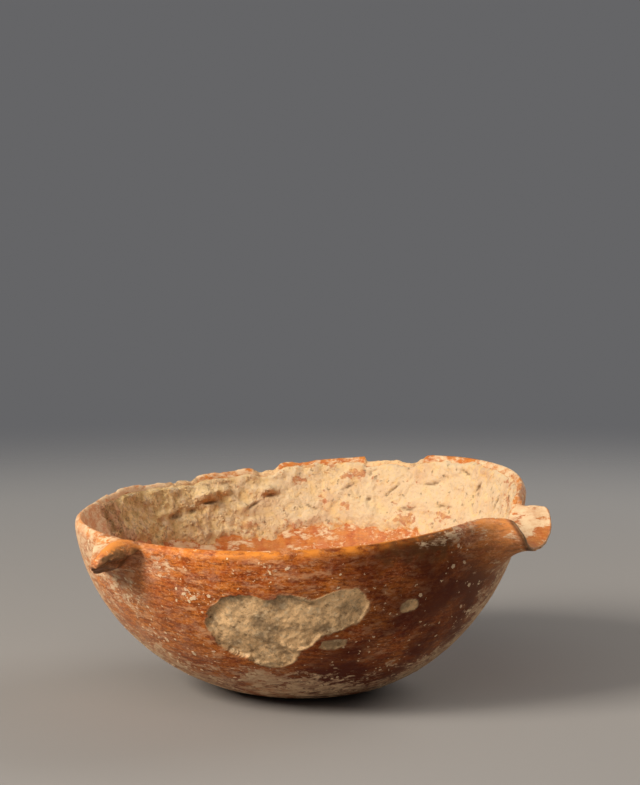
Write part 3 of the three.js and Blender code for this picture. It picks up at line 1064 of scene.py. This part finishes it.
def crust_cover(angle, share, ragged):
    # 1 on the crust and 0 beyond its ragged edges
    degrees = np.degrees(angle)
    low_edge = crust_edge(angle, share)
    side_edge = np.minimum(degrees - CRUST_FROM - 3, CRUST_TO - 12 - degrees) * 1.2
    inward = np.minimum(low_edge + 4.5 * ragged, 0.5 * side_edge + 6 * ragged)
    from_lip = (0.975 - share) * WALL_LENGTH + 2.0 * ragged
    return ramp(inward, -1.5, 4.0) * ramp(from_lip, 0, 2.0)


def with_lumps(thick, angle, share, lumpy):
    # Adds the lumps and pits, and marks the pits as grooves, which the crust's material darkens as painted
    # shadow under the lumps
    groove = np.zeros_like(thick)
    for *place, swell in CRUST_SPOTS:
        spot = blob(angle, share, *place)
        thick = thick + swell * spot * (1 + 0.4 * lumpy)
        groove = np.maximum(groove, spot * (swell < 0))
    return thick, groove


def with_cracks(thick, groove, angle, share, lumpy):
    # Opens each crack, lifts the loose flake above it, and marks the crack as a groove, which the crust's
    # material darkens as painted shadow under the flake
    for heading, rise, half_length, tilt, deep in CRUST_CRACKS:
        across = (math.radians(heading) - angle) * RIM_RADIUS * SPOT_REACH
        upward = (share - rise) * WALL_LENGTH
        slant = math.radians(tilt)
        run = (across * math.cos(slant) + upward * math.sin(slant)) / half_length
        aside = upward * math.cos(slant) - across * math.sin(slant) + 0.7 * lumpy
        line = np.exp(-run * run - (aside / 0.55) ** 2)
        flake = np.exp(-run * run - np.maximum(aside, 0) / 2.5) * ramp(aside, 0.1, 0.8)
        thick = thick + deep * (0.9 * flake - 0.8 * line)
        groove = np.maximum(groove, line)
    return thick, groove


def crust_stains(angle, share):
    stain = np.zeros_like(angle)
    for spot in CRUST_STAINS:
        stain = np.maximum(stain, blob(angle, share, *spot))
    return stain


def crust_masks(angle, share, points):
    # The crust's height over the wall, and what its material and its grains read
    degrees = np.degrees(angle)
    ragged = layered_noise(points, 8.0, 101, 4)
    broad = layered_noise(points, 11.0, 111, 2)
    lumpy = layered_noise(points, 4.2, 121, 2)
    fine = layered_noise(points, 1.5, 131, 2)
    cover = crust_cover(angle, share, ragged)
    rugged = lerp(0.7, 1.0, ramp(degrees, 60, 110))
    flaking = ramp(-degrees, -110, -80)
    layers = 2.4 * layered_noise(points, 9.0, 161, 3)
    level = np.floor(layers)
    terrace = level + ramp(layers - level, 0.4, 0.6)
    spongy = ramp(degrees, 85, 125) * layered_noise(points, 2.3, 137, 2)
    relief = 1.2 + 0.5 * broad + 0.6 * rugged * lumpy + 0.22 * rugged * fine
    thick = cover * (relief + 0.4 * flaking * terrace + 0.55 * spongy)
    thick, groove = with_lumps(thick, angle, share, lumpy)
    thick, groove = with_cracks(thick, groove, angle, share, lumpy)
    crack = 1 - ramp(np.abs(layered_noise(points, 12.0, 141, 2)), 0.0, 0.045)
    cracking = ramp(-degrees, -70, -30)
    thick -= 0.35 * crack * cover * cracking
    # Ledge lines at the terraces' steps, cracks and the low places of the relief go into the hollow mask,
    # which the material darkens: partly dirt, partly painted shade
    step_edge = 4 * (terrace - level) * (level + 1 - terrace)
    hollow = np.clip(-0.9 * lumpy - 0.7 * fine, 0, 1) * rugged
    hollow = np.maximum(hollow, 0.8 * step_edge * flaking * ramp(ragged, -0.2, 0.3))
    hollow = np.maximum(hollow, crack * cracking)
    hollow = np.maximum(hollow, -1.6 * spongy)
    thick = np.maximum(thick, lerp(-1.0, 0.72, ramp(cover, 0.5, 0.9)) + 0.12 * fine)
    crowded = lerp(0.1, 1.0, ramp(degrees, 75, 125))
    return {
        "thick": thick - CRUST_SINK,
        "hollow": np.clip(hollow, 0, 1),
        "stain": crust_stains(angle, share),
        "groove": ramp(groove + 0.25 * fine, 0.25, 0.8),
        "dirt": ramp(degrees, 85, 150) + 0.6 * ramp(degrees + 12 * ragged, 146, 160),
        "scatter": ramp(thick, 0.3, 0.8) * crowded * ramp(ragged, -0.4, 0.3),
    }


def crust_grid(bowl):
    first = round((CRUST_FROM - 90) / 360 * COLUMNS)
    last = round((CRUST_TO - 90) / 360 * COLUMNS)
    columns = np.arange(first, last) % COLUMNS
    rows = [row for row in range(bowl.lip_row + 1, len(bowl.points)) if bowl.share[row, 0] > CRUST_LOW]
    return np.ix_(rows, columns)


def sheet_faces(rows, columns):
    # Quads of a closed sheet: the front grid, the back grid behind it, and the band round the edge
    front = np.arange(rows * columns).reshape(rows, columns)
    back = front + rows * columns
    faces = []
    for grid, order in ((front, 1), (back, -1)):
        quads = np.stack([grid[:-1, :-1], grid[:-1, 1:], grid[1:, 1:], grid[1:, :-1]], -1).reshape(-1, 4)
        faces.append(quads[:, ::order])

    def border(grid):
        return np.concatenate([grid[0, :-1], grid[:-1, -1], grid[-1, :0:-1], grid[:0:-1, 0]])

    ahead = border(front)
    behind = border(back)
    faces.append(np.stack([np.roll(ahead, -1), ahead, behind, np.roll(behind, -1)], -1))
    return np.concatenate(faces).tolist()


def crust_piece(bowl, material):
    area = crust_grid(bowl)
    points = bowl.points[area]
    normals = bowl.normals[area]
    masks = crust_masks(bowl.angle[area], bowl.share[area], points)
    edge = np.ones_like(masks["thick"])
    edge[:CRUST_TOP_ROWS] = np.linspace(0, 0.8, CRUST_TOP_ROWS)[:, None]
    thick = (masks["thick"] + CRUST_SINK) * edge - CRUST_SINK
    front = points + normals * thick[..., None]
    back = points - normals * CRUST_BACK
    rows, columns = thick.shape
    places = np.concatenate([front.reshape(-1, 3), back.reshape(-1, 3)])
    piece = new_piece("crust", places, sheet_faces(rows, columns), material)
    for mask, values in masks.items():
        hidden = np.zeros_like(values) if mask == "scatter" else values
        add_mask(piece, mask, np.concatenate([values.ravel(), hidden.ravel()]))
    return piece


# Geometry Nodes: grains strewn over a surface, thickest where its scatter mask is 1
def strewn_grains_tree():
    tree = bpy.data.node_groups.new("strewn grains", "GeometryNodeTree")
    add_input(tree, "Surface", "NodeSocketGeometry")
    for name in ("Density", "Size", "Flatness", "Tilt"):
        add_input(tree, name, "NodeSocketFloat")
    add_input(tree, "Flakes", "NodeSocketBool")
    add_input(tree, "Seed", "NodeSocketInt")
    add_input(tree, "Material", "NodeSocketMaterial")
    tree.interface.new_socket("Grains", in_out="OUTPUT", socket_type="NodeSocketGeometry")
    start = tree.nodes.new("NodeGroupInput")
    seed = start.outputs["Seed"]

    named = {"Name": "scatter"}
    mask = place_node(tree, "GeometryNodeInputNamedAttribute", named, data_type="FLOAT").outputs[0]
    density = times(tree, mask, start.outputs["Density"])
    spread = place_node(tree, "GeometryNodeDistributePointsOnFaces", {
        "Mesh": start.outputs["Surface"], "Density": density, "Seed": seed,
    })
    size = start.outputs["Size"]
    grain = place_node(tree, "GeometryNodeMeshIcoSphere", {"Radius": size, "Subdivisions": 1})
    flake = place_node(tree, "GeometryNodeMeshCylinder", {"Vertices": 5, "Radius": size, "Depth": size})
    bit = place_node(tree, "GeometryNodeSwitch", {
        "Switch": start.outputs["Flakes"], "False": grain.outputs["Mesh"], "True": flake.outputs["Mesh"],
    }, input_type="GEOMETRY")
    flat = start.outputs["Flatness"]
    shape = random_vector(tree, vector(tree, 0.7, 0.45, flat), vector(tree, 1.2, 0.9, flat), seed)
    drawn = {8: calc(tree, "ADD", seed, 2.0)}
    chance = place_node(tree, "FunctionNodeRandomValue", drawn, data_type="FLOAT").outputs[1]
    growth = scaled(tree, calc(tree, "POWER", chance, 4.0), 1.3, 0.5)
    tilt = start.outputs["Tilt"]
    back = times(tree, tilt, -1.0)
    least = vector(tree, back, back, 0.0)
    most = vector(tree, tilt, tilt, 2 * math.pi)
    turn = random_vector(tree, least, most, calc(tree, "ADD", seed, 1.0))
    spin = place_node(tree, "FunctionNodeEulerToRotation", {0: turn}).outputs[0]
    rotation = place_node(tree, "FunctionNodeRotateRotation", {
        "Rotation": spread.outputs["Rotation"], "Rotate By": spin,
    }, rotation_space="LOCAL").outputs[0]
    strewn = place_node(tree, "GeometryNodeInstanceOnPoints", {
        "Points": spread.outputs["Points"], "Instance": bit.outputs[0],
        "Rotation": rotation, "Scale": vector_times(tree, shape, growth),
    })
    return ended_tree(tree, start, strewn.outputs[0])


def grains_on(surface, tree, name, material, values):
    # surface is a mesh with a scatter mask
    piece = bpy.data.objects.new(name, surface)
    bpy.context.scene.collection.objects.link(piece)
    modifier = piece.modifiers.new(name, "NODES")
    modifier.node_group = tree
    for key, value in values.items():
        set_input(modifier, key, value)
    set_input(modifier, "Material", material)
    return made_plain(piece)


def outer_sheet(bowl):
    # The outside of the wall as a coarse sheet, masked where lime flecks lie
    outer = bowl.joint_rows["outer"]
    rows = list(range(outer[0] // 2, outer[-1], 3))
    points = bowl.points[rows].reshape(-1, 3)
    angle = bowl.angle[rows].ravel()
    share = bowl.share[rows].ravel()
    sheet = new_piece("outer sheet", points, ring_faces(rows, False), None)
    film = outside_masks(angle, share, points)["film"]
    gathered = ramp(layered_noise(points, 9.0, 151, 3), -0.05, 0.5)
    scatter = (0.12 + film) * gathered + 3 * blob(angle, share, -116, 0.80, 5, 3)
    scatter = scatter * (1 - bowl.raw[rows].ravel())
    add_mask(sheet, "scatter", scatter)
    mesh = sheet.data
    bpy.data.objects.remove(sheet)
    return mesh


# Shader helpers
def new_material(name):
    material = bpy.data.materials.new(name)
    material.use_nodes = True
    tree = material.node_tree
    shader = tree.nodes["Principled BSDF"]
    place = tree.nodes.new("ShaderNodeTexCoord").outputs["Object"]
    return material, tree, shader, place


def read_mask(tree, name):
    return place_node(tree, "ShaderNodeAttribute", attribute_name=name).outputs["Fac"]


def mixed(tree, share, first, second):
    return place_node(tree, "ShaderNodeMix", {0: share, 6: first, 7: second}, data_type="RGBA").outputs[2]


def tinted(tree, colour, tint, share, strength):
    return mixed(tree, times(tree, share, strength), colour, tint)


def stepped(tree, value, low, high):
    inputs = {"Value": value, "From Min": low, "From Max": high}
    return place_node(tree, "ShaderNodeMapRange", inputs, interpolation_type="SMOOTHSTEP").outputs[0]


def cloud(tree, place, scale, detail=4.0, roughness=0.55):
    inputs = {"Vector": place, "Scale": scale, "Detail": detail, "Roughness": roughness}
    return place_node(tree, "ShaderNodeTexNoise", inputs).outputs[0]


def streaks(tree, place, squeeze, scale, detail, roughness):
    # A cloud drawn out level: the smaller the squeeze, the longer its streaks
    mapped = place_node(tree, "ShaderNodeMapping", {"Vector": place, "Scale": (squeeze, squeeze, 1.0)})
    return cloud(tree, mapped.outputs[0], scale, detail, roughness)


def add_bump(tree, shader, height, strength, depth):
    bump = place_node(tree, "ShaderNodeBump", {"Height": height, "Strength": strength, "Distance": depth})
    tree.links.new(bump.outputs[0], shader.inputs["Normal"])


def new_effect(name, outputs):
    tree = bpy.data.node_groups.new(name, "ShaderNodeTree")
    tree.interface.new_socket("Place", in_out="INPUT", socket_type="NodeSocketVector")
    for output in outputs:
        tree.interface.new_socket(output, in_out="OUTPUT", socket_type="NodeSocketFloat")
    start = tree.nodes.new("NodeGroupInput")
    end = tree.nodes.new("NodeGroupOutput")
    return tree, start.outputs["Place"], end


def use_effect(tree, effect, place, **values):
    node = tree.nodes.new("ShaderNodeGroup")
    node.node_tree = effect
    tree.links.new(place, node.inputs["Place"])
    for name, value in values.items():
        socket = node.inputs[name.replace("_", " ").capitalize()]
        if isinstance(value, bpy.types.NodeSocket):
            tree.links.new(value, socket)
        else:
            socket.default_value = value
    return node.outputs


# Shared effects
def burnish_effect():
    # Level strokes of the burnishing pebble: blotches, dark strokes, pale wisps and their height
    tree, place, end = new_effect("burnish strokes", ["Blotch", "Stroke", "Wisp", "Height"])
    blotch = streaks(tree, place, 0.6, 190.0, 10.0, 0.74)
    stroke = streaks(tree, place, 0.2, 1000.0, 6.0, 0.72)
    wisp = streaks(tree, place, 0.4, 560.0, 6.0, 0.66)
    wisp = scaled(tree, cloud(tree, place, 85.0, 4.0, 0.6), 0.35, wisp)
    tree.links.new(stepped(tree, blotch, 0.36, 0.64), end.inputs["Blotch"])
    tree.links.new(stepped(tree, stroke, 0.38, 0.62), end.inputs["Stroke"])
    tree.links.new(stepped(tree, wisp, 0.7, 0.84), end.inputs["Wisp"])
    height = scaled(tree, stroke, 0.8, times(tree, wisp, 0.6))
    tree.links.new(height, end.inputs["Height"])
    return tree


def scattered_spots(tree, place, scale, most):
    # Ragged spots of many sizes, gathered in clouds: 1 on a spot, the widest reaching a share of a cell
    noise = {"Vector": place, "Scale": 1100.0, "Detail": 4.0}
    shift = place_node(tree, "ShaderNodeTexNoise", noise).outputs["Color"]
    shift = vector_times(tree, shift, 0.0022)
    ragged = place_node(tree, "ShaderNodeVectorMath", {0: place, 1: shift}, operation="ADD").outputs[0]
    cells = place_node(tree, "ShaderNodeTexVoronoi", {"Vector": ragged, "Scale": scale})
    chance = place_node(tree, "ShaderNodeSeparateColor", {0: cells.outputs["Color"]}).outputs[0]
    gather = scaled(tree, cloud(tree, place, 80.0, 4.0, 0.6), 1.6, -0.3)
    reach = times(tree, scaled(tree, chance, 1.6, -1.1), most)
    reach = times(tree, reach, gather)
    return stepped(tree, calc(tree, "SUBTRACT", reach, cells.outputs["Distance"]), -0.06, 0.06)


def grit_effect():
    # Sandy grains: a height, a mask of the darker pits between them and a mask of scattered holes; the pits
    # are the low places of the height, so their darkening is painted shade
    tree, place, end = new_effect("sandy grit", ["Height", "Pits", "Holes"])
    coarse = cloud(tree, place, 900.0, 6.0, 0.7)
    fine = cloud(tree, place, 2600.0, 3.0, 0.6)
    tree.links.new(scaled(tree, fine, 0.5, coarse), end.inputs["Height"])
    tree.links.new(stepped(tree, coarse, 0.46, 0.34), end.inputs["Pits"])
    tree.links.new(scattered_spots(tree, place, 520.0, 1.3), end.inputs["Holes"])
    return tree


def lime_effect():
    # Lime deposit: how far it covers the surface, more as the amount rises, its specks and its thicker body
    tree, place, end = new_effect("lime deposit", ["Cover", "Specks", "Body"])
    tree.interface.new_socket("Amount", in_out="INPUT", socket_type="NodeSocketFloat")
    amount = tree.nodes["Group Input"].outputs["Amount"]
    patchy = streaks(tree, place, 0.45, 460.0, 7.0, 0.68)
    broken = streaks(tree, place, 0.4, 1500.0, 4.0, 0.7)
    cover = scaled(tree, amount, 0.42, scaled(tree, broken, 0.45, patchy))
    tree.links.new(stepped(tree, cover, 0.94, 1.09), end.inputs["Cover"])
    body = streaks(tree, place, 0.6, 300.0, 7.0, 0.7)
    tree.links.new(stepped(tree, body, 0.36, 0.6), end.inputs["Body"])
    specks = scattered_spots(tree, place, 620.0, scaled(tree, amount, 1.0, 0.85))
    tree.links.new(specks, end.inputs["Specks"])
    return tree


# Materials
DEEP_RED = (0.085, 0.010, 0.0015, 1)
SLIP_RED = (0.37, 0.070, 0.010, 1)
SLIP_ORANGE = (0.62, 0.19, 0.030, 1)
SLIP_MAUVE = (0.37, 0.15, 0.085, 1)
SLIP_PALE = (0.72, 0.37, 0.18, 1)
LIP_ORANGE = (0.72, 0.24, 0.03, 1)
INNER_ORANGE = (0.58, 0.225, 0.055, 1)
INNER_RED = (0.45, 0.115, 0.028, 1)
INNER_MAUVE = (0.72, 0.40, 0.21, 1)
SOOT_AND_SHADE_BROWN = (0.125, 0.053, 0.017, 1)
LIME_FILM = (0.66, 0.42, 0.255, 1)
LIME_CREAM = (0.75, 0.555, 0.335, 1)
LIME_PINK = (0.66, 0.42, 0.24, 1)
DIRT_TAN = (0.89, 0.57, 0.20, 1)
RAW_TAN = (0.86, 0.54, 0.265, 1)
RAW_GREY = (0.39, 0.25, 0.13, 1)
CLAY_DARK = (0.15, 0.08, 0.033, 1)
CREVICE_BROWN = (0.19, 0.105, 0.04, 1)


def burnished_colour(tree, place, strokes):
    # Red slip on the outside: blotches, strokes, mauve and pale marks, dark stretches that are partly
    # painted shade, and worn places that are partly painted light
    dark = read_mask(tree, "dark")
    wear = read_mask(tree, "wear")
    colour = mixed(tree, strokes["Blotch"], SLIP_RED, SLIP_ORANGE)
    colour = tinted(tree, colour, DEEP_RED, stepped(tree, strokes["Stroke"], 0.65, 0.1), 0.6)
    mauve = stepped(tree, streaks(tree, place, 0.6, 210.0, 8.0, 0.72), 0.48, 0.62)
    mauve = times(tree, mauve, scaled(tree, wear, -0.6, 0.7))
    colour = tinted(tree, colour, SLIP_MAUVE, mauve, scaled(tree, dark, -0.7, 1.0))
    speckle = streaks(tree, place, 0.6, 1500.0, 5.0, 0.75)
    colour = tinted(tree, colour, SLIP_PALE, stepped(tree, speckle, 0.52, 0.66), 0.55)
    colour = tinted(tree, colour, DEEP_RED, stepped(tree, speckle, 0.48, 0.36), 0.6)
    colour = tinted(tree, colour, SLIP_PALE, strokes["Wisp"], 0.6)
    # Deep red where the dark mask lies: partly the slip's own tone, partly painted shade
    patches = cloud(tree, place, 55.0, 5.0, 0.6)
    shade = times(tree, dark, stepped(tree, patches, 0.25, 0.6))
    colour = tinted(tree, colour, DEEP_RED, shade, 0.95)
    worn = stepped(tree, streaks(tree, place, 0.5, 260.0, 7.0, 0.7), 0.4, 0.6)
    return tinted(tree, colour, LIP_ORANGE, wear, worn)


def limed_colour(tree, colour, film, inside, soot):
    # A whitish film and cream specks over the slip
    body = calc(tree, "MAXIMUM", inside, times(tree, film["Body"], 0.6))
    lime_colour = mixed(tree, body, LIME_FILM, LIME_CREAM)
    colour = tinted(tree, colour, lime_colour, film["Cover"], scaled(tree, film["Body"], 0.45, 0.5))
    clear = times(tree, scaled(tree, inside, -0.6, 1.0), calc(tree, "SUBTRACT", 1.0, soot))
    return tinted(tree, colour, LIME_CREAM, film["Specks"], clear)


def raw_clay_colour(tree, place, grains):
    # Bare clay of the scar and of broken edges; its darker pits are partly dark grit of the clay, partly
    # painted shade in the low places of its grain
    clay = mixed(tree, stepped(tree, cloud(tree, place, 130.0, 9.0, 0.74), 0.4, 0.58), RAW_GREY, RAW_TAN)
    pale = stepped(tree, cloud(tree, place, 420.0, 6.0, 0.7), 0.5, 0.66)
    clay = tinted(tree, clay, LIME_CREAM, pale, 0.7)
    clay = tinted(tree, clay, CLAY_DARK, grains["Pits"], 0.55)
    return tinted(tree, clay, CLAY_DARK, grains["Holes"], 0.6)


def slip_material(burnish, grit, lime):
    material, tree, shader, place = new_material("burnished red slip")
    strokes = use_effect(tree, burnish, place)
    grains = use_effect(tree, grit, place)
    film = use_effect(tree, lime, place, amount=read_mask(tree, "film"))
    raw = read_mask(tree, "raw")
    inside = read_mask(tree, "inside")
    soot = read_mask(tree, "soot")

    colour = burnished_colour(tree, place, strokes)
    wiped = stepped(tree, cloud(tree, place, 210.0, 8.0, 0.7), 0.36, 0.62)
    colour = tinted(tree, colour, mixed(tree, wiped, INNER_RED, INNER_ORANGE), inside, 0.68)
    # Pale wash over the slip: a pale film on the upper left inside wall; outside, partly pale film, partly
    # painted light on the lit left side and the pouring lug's flank, and painted sheen along the right
    # contour
    colour = mixed(tree, read_mask(tree, "veil"), colour, SLIP_PALE)
    # Brown over the sooted places near the right rim, and as painted shade under the tongue and on the
    # broken edges of the lugs
    smut_and_shade = scaled(tree, soot, 0.25, cloud(tree, place, 320.0, 7.0, 0.72))
    sooty_and_shaded = times(tree, soot, stepped(tree, smut_and_shade, 0.56, 0.74))
    colour = tinted(tree, colour, SOOT_AND_SHADE_BROWN, sooty_and_shaded, 0.9)
    colour = limed_colour(tree, colour, film, inside, soot)
    colour = mixed(tree, raw, colour, raw_clay_colour(tree, place, grains))
    tree.links.new(colour, shader.inputs["Base Color"])

    shader.inputs["Specular IOR Level"].default_value = 0.1
    rough = scaled(tree, strokes["Stroke"], 0.14, 0.4)
    rough = scaled(tree, film["Cover"], 0.3, rough)
    rough = calc(tree, "MAXIMUM", rough, times(tree, raw, 0.95))
    tree.links.new(rough, shader.inputs["Roughness"])
    height = times(tree, strokes["Height"], 0.35)
    height = scaled(tree, film["Cover"], 0.25, height)
    height = scaled(tree, times(tree, grains["Height"], raw), 2.0, height)
    add_bump(tree, shader, height, 0.6, 0.0004)
    return material


def fleck_material():
    material, tree, shader, place = new_material("lime flecks")
    clean = stepped(tree, cloud(tree, place, 260.0, 4.0, 0.6), 0.35, 0.65)
    tree.links.new(mixed(tree, clean, LIME_FILM, LIME_CREAM), shader.inputs["Base Color"])
    shader.inputs["Roughness"].default_value = 0.95
    return material


def stained_lime(tree, place, mottle, dirt):
    # Cream lime, thin where the slip shows through, with red stains and tan dirt
    clean = stepped(tree, cloud(tree, place, 90.0, 5.0, 0.6), 0.28, 0.55)
    colour = mixed(tree, clean, LIME_PINK, LIME_CREAM)
    ragged = scaled(tree, mottle, 1.6, read_mask(tree, "thick"))
    colour = mixed(tree, stepped(tree, ragged, 1.1, 0.7), colour, INNER_ORANGE)
    flecked = streaks(tree, place, 0.7, 520.0, 5.0, 0.65)
    stain = scaled(tree, read_mask(tree, "stain"), 0.2, flecked)
    colour = tinted(tree, colour, INNER_RED, stepped(tree, stain, 0.61, 0.7), 0.75)
    grimy = times(tree, dirt, stepped(tree, mottle, 0.36, 0.6))
    colour = tinted(tree, colour, DIRT_TAN, grimy, 0.7)
    colour = mixed(tree, stepped(tree, dirt, 1.05, 1.5), colour, INNER_MAUVE)
    chalky = stepped(tree, cloud(tree, place, 800.0, 6.0, 0.75), 0.5, 0.66)
    return tinted(tree, colour, DIRT_TAN, chalky, 0.4)


def pitted_lime(tree, colour, mottle, dirt, spongy, grains):
    # Browner in hollows, pits, pores, holes and cracks, and most where the crust is dirty: partly dirt
    # lying in them, partly painted shade in these recesses
    hollow = read_mask(tree, "hollow")
    colour = tinted(tree, colour, DIRT_TAN, hollow, 0.6)
    sunk = times(tree, hollow, stepped(tree, mottle, 0.4, 0.55))
    colour = tinted(tree, colour, CREVICE_BROWN, sunk, times(tree, dirt, 0.38))
    grime = calc(tree, "MINIMUM", dirt, 0.9)
    colour = tinted(tree, colour, CLAY_DARK, grains["Pits"], scaled(tree, grime, 0.25, 0.2))
    pores = stepped(tree, spongy, 0.47, 0.36)
    colour = tinted(tree, colour, CREVICE_BROWN, pores, scaled(tree, grime, 0.4, 0.08))
    colour = tinted(tree, colour, CREVICE_BROWN, grains["Holes"], 0.4)
    # Dark brown in the grooves under lumps, in pits and along cracks: painted shadow
    crevice = times(tree, read_mask(tree, "groove"), stepped(tree, mottle, 0.3, 0.5))
    return tinted(tree, colour, CREVICE_BROWN, crevice, 0.85)


def crust_material(grit):
    material, tree, shader, place = new_material("lime crust")
    grains = use_effect(tree, grit, place)
    dirt = read_mask(tree, "dirt")
    mottle = cloud(tree, place, 330.0, 6.0, 0.7)
    spongy = cloud(tree, place, 480.0, 7.0, 0.72)
    colour = stained_lime(tree, place, mottle, dirt)
    colour = pitted_lime(tree, colour, mottle, dirt, spongy, grains)
    tree.links.new(colour, shader.inputs["Base Color"])
    shader.inputs["Roughness"].default_value = 0.95
    height = calc(tree, "SUBTRACT", grains["Height"], grains["Holes"])
    height = scaled(tree, spongy, scaled(tree, dirt, 2.0, 0.4), height)
    add_bump(tree, shader, height, 0.8, 0.0008)
    return material


# Stage: floor, lights and camera
FLOOR_NEAR = (0.28, 0.262, 0.243, 1)
FLOOR_FAR = (0.275, 0.274, 0.272, 1)
BACKDROP_GREY = (0.13, 0.13, 0.135, 1)
# Name, place, aim, size, power and colour of each light
LIGHTS = [
    ("key", (-0.96, -0.69, 0.78), (0, 0, 0.04), 0.5, 25, (1.0, 0.94, 0.86)),
    ("fill", (-0.3, -1.05, 1.15), (0, 0, 0.03), 1.2, 6.6, (1.0, 0.95, 0.9)),
    ("back", (0.95, 0.6, 0.7), (0, 0, 0.03), 0.8, 8, (1.0, 0.96, 0.92)),
]
# The camera's lens in millimetres, its place in metres, and how many degrees it looks down and right
LENS_LENGTH = 116.35
CAMERA_PLACE = (-0.0020, -0.8366, 0.1910)
CAMERA_DOWN = 6.30
CAMERA_RIGHT = 0.486


def add_floor():
    # A pale floor that fades out away from the bowl, so that its far edge is lost in the backdrop; its
    # warmer colour near the bowl is painted bounce light from the bowl
    bpy.ops.mesh.primitive_plane_add(size=12, location=(0, 0, 0))
    floor = bpy.context.object
    floor.name = "floor"
    material, tree, shader, place = new_material("pale floor")
    away = place_node(tree, "ShaderNodeVectorMath", {0: place}, operation="LENGTH").outputs["Value"]
    colour = mixed(tree, stepped(tree, away, 0.1, 0.6), FLOOR_NEAR, FLOOR_FAR)
    tree.links.new(colour, shader.inputs["Base Color"])
    tree.links.new(stepped(tree, away, 0.75, 0.4), shader.inputs["Alpha"])
    shader.inputs["Roughness"].default_value = 0.85
    floor.data.materials.append(material)


def add_light(name, place, aim, size, power, colour):
    light = bpy.data.lights.new(name, "AREA")
    light.size = size
    light.energy = power
    light.color = colour
    lamp = bpy.data.objects.new(name, light)
    bpy.context.scene.collection.objects.link(lamp)
    lamp.location = place
    direction = np.array(aim) - np.array(place)
    turn = math.atan2(direction[1], direction[0])
    fall = math.atan2(-direction[2], math.hypot(direction[0], direction[1]))
    lamp.rotation_euler = Euler((math.pi / 2 - fall, 0, turn - math.pi / 2))


def add_lights():
    for light in LIGHTS:
        add_light(*light)
    world = bpy.data.worlds.new("studio")
    world.use_nodes = True
    backdrop = world.node_tree.nodes["Background"]
    backdrop.inputs["Color"].default_value = BACKDROP_GREY
    backdrop.inputs["Strength"].default_value = 1.0
    bpy.context.scene.world = world


def add_camera():
    lens = bpy.data.cameras.new("camera")
    lens.sensor_fit = "VERTICAL"
    lens.sensor_height = 36
    lens.lens = LENS_LENGTH
    camera = bpy.data.objects.new("camera", lens)
    bpy.context.scene.collection.objects.link(camera)
    camera.location = CAMERA_PLACE
    camera.rotation_euler = Euler((math.radians(90 - CAMERA_DOWN), 0, math.radians(-CAMERA_RIGHT)))
    bpy.context.scene.camera = camera


# Build
add_camera()
add_lights()
add_floor()
bpy.context.scene.view_settings.view_transform = "Standard"

burnish = burnish_effect()
grit = grit_effect()
lime = lime_effect()
slip = slip_material(burnish, grit, lime)
crust = crust_material(grit)

bowl = Bowl(slip)
WALL_PIECES = [
    ("bowl_base", "base_pad"),
    ("lower_wall", "lower_wall_strip"),
    ("middle_wall", "middle_wall_strip"),
    ("upper_wall", "upper_wall_strip"),
    ("rim", "rim_strip"),
]
for strip, (name, node) in enumerate(WALL_PIECES):
    piece = wall_piece(bowl, name, strip_rows(bowl, strip), slip, closed=strip > 0)
    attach(piece, "root")
    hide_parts(node)

for name, node, lug in (("spout", "pouring_lug", POURING_LUG), ("tongue", "tongue_lug", TONGUE_LUG)):
    piece = lug_piece(name, lug, slip)
    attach(piece, "root")
    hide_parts(node)

strewn = strewn_grains_tree()
fleck_sizes = {
    "Density": 2.6e5, "Size": 0.6 * MM, "Flatness": 0.2, "Tilt": 0.0, "Flakes": True, "Seed": 7,
}
piece = grains_on(outer_sheet(bowl), strewn, "lime_flecks", fleck_material(), fleck_sizes)
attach(piece, "root")

piece = crust_piece(bowl, crust)
grain_sizes = {
    "Density": 1.6e6, "Size": 0.32 * MM, "Flatness": 0.6, "Tilt": 0.3, "Flakes": False, "Seed": 11,
}
grains = grains_on(piece.data, strewn, "crust_grains", crust, grain_sizes)
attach(grains, "root")
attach(piece, "root")
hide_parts("inner_crust")
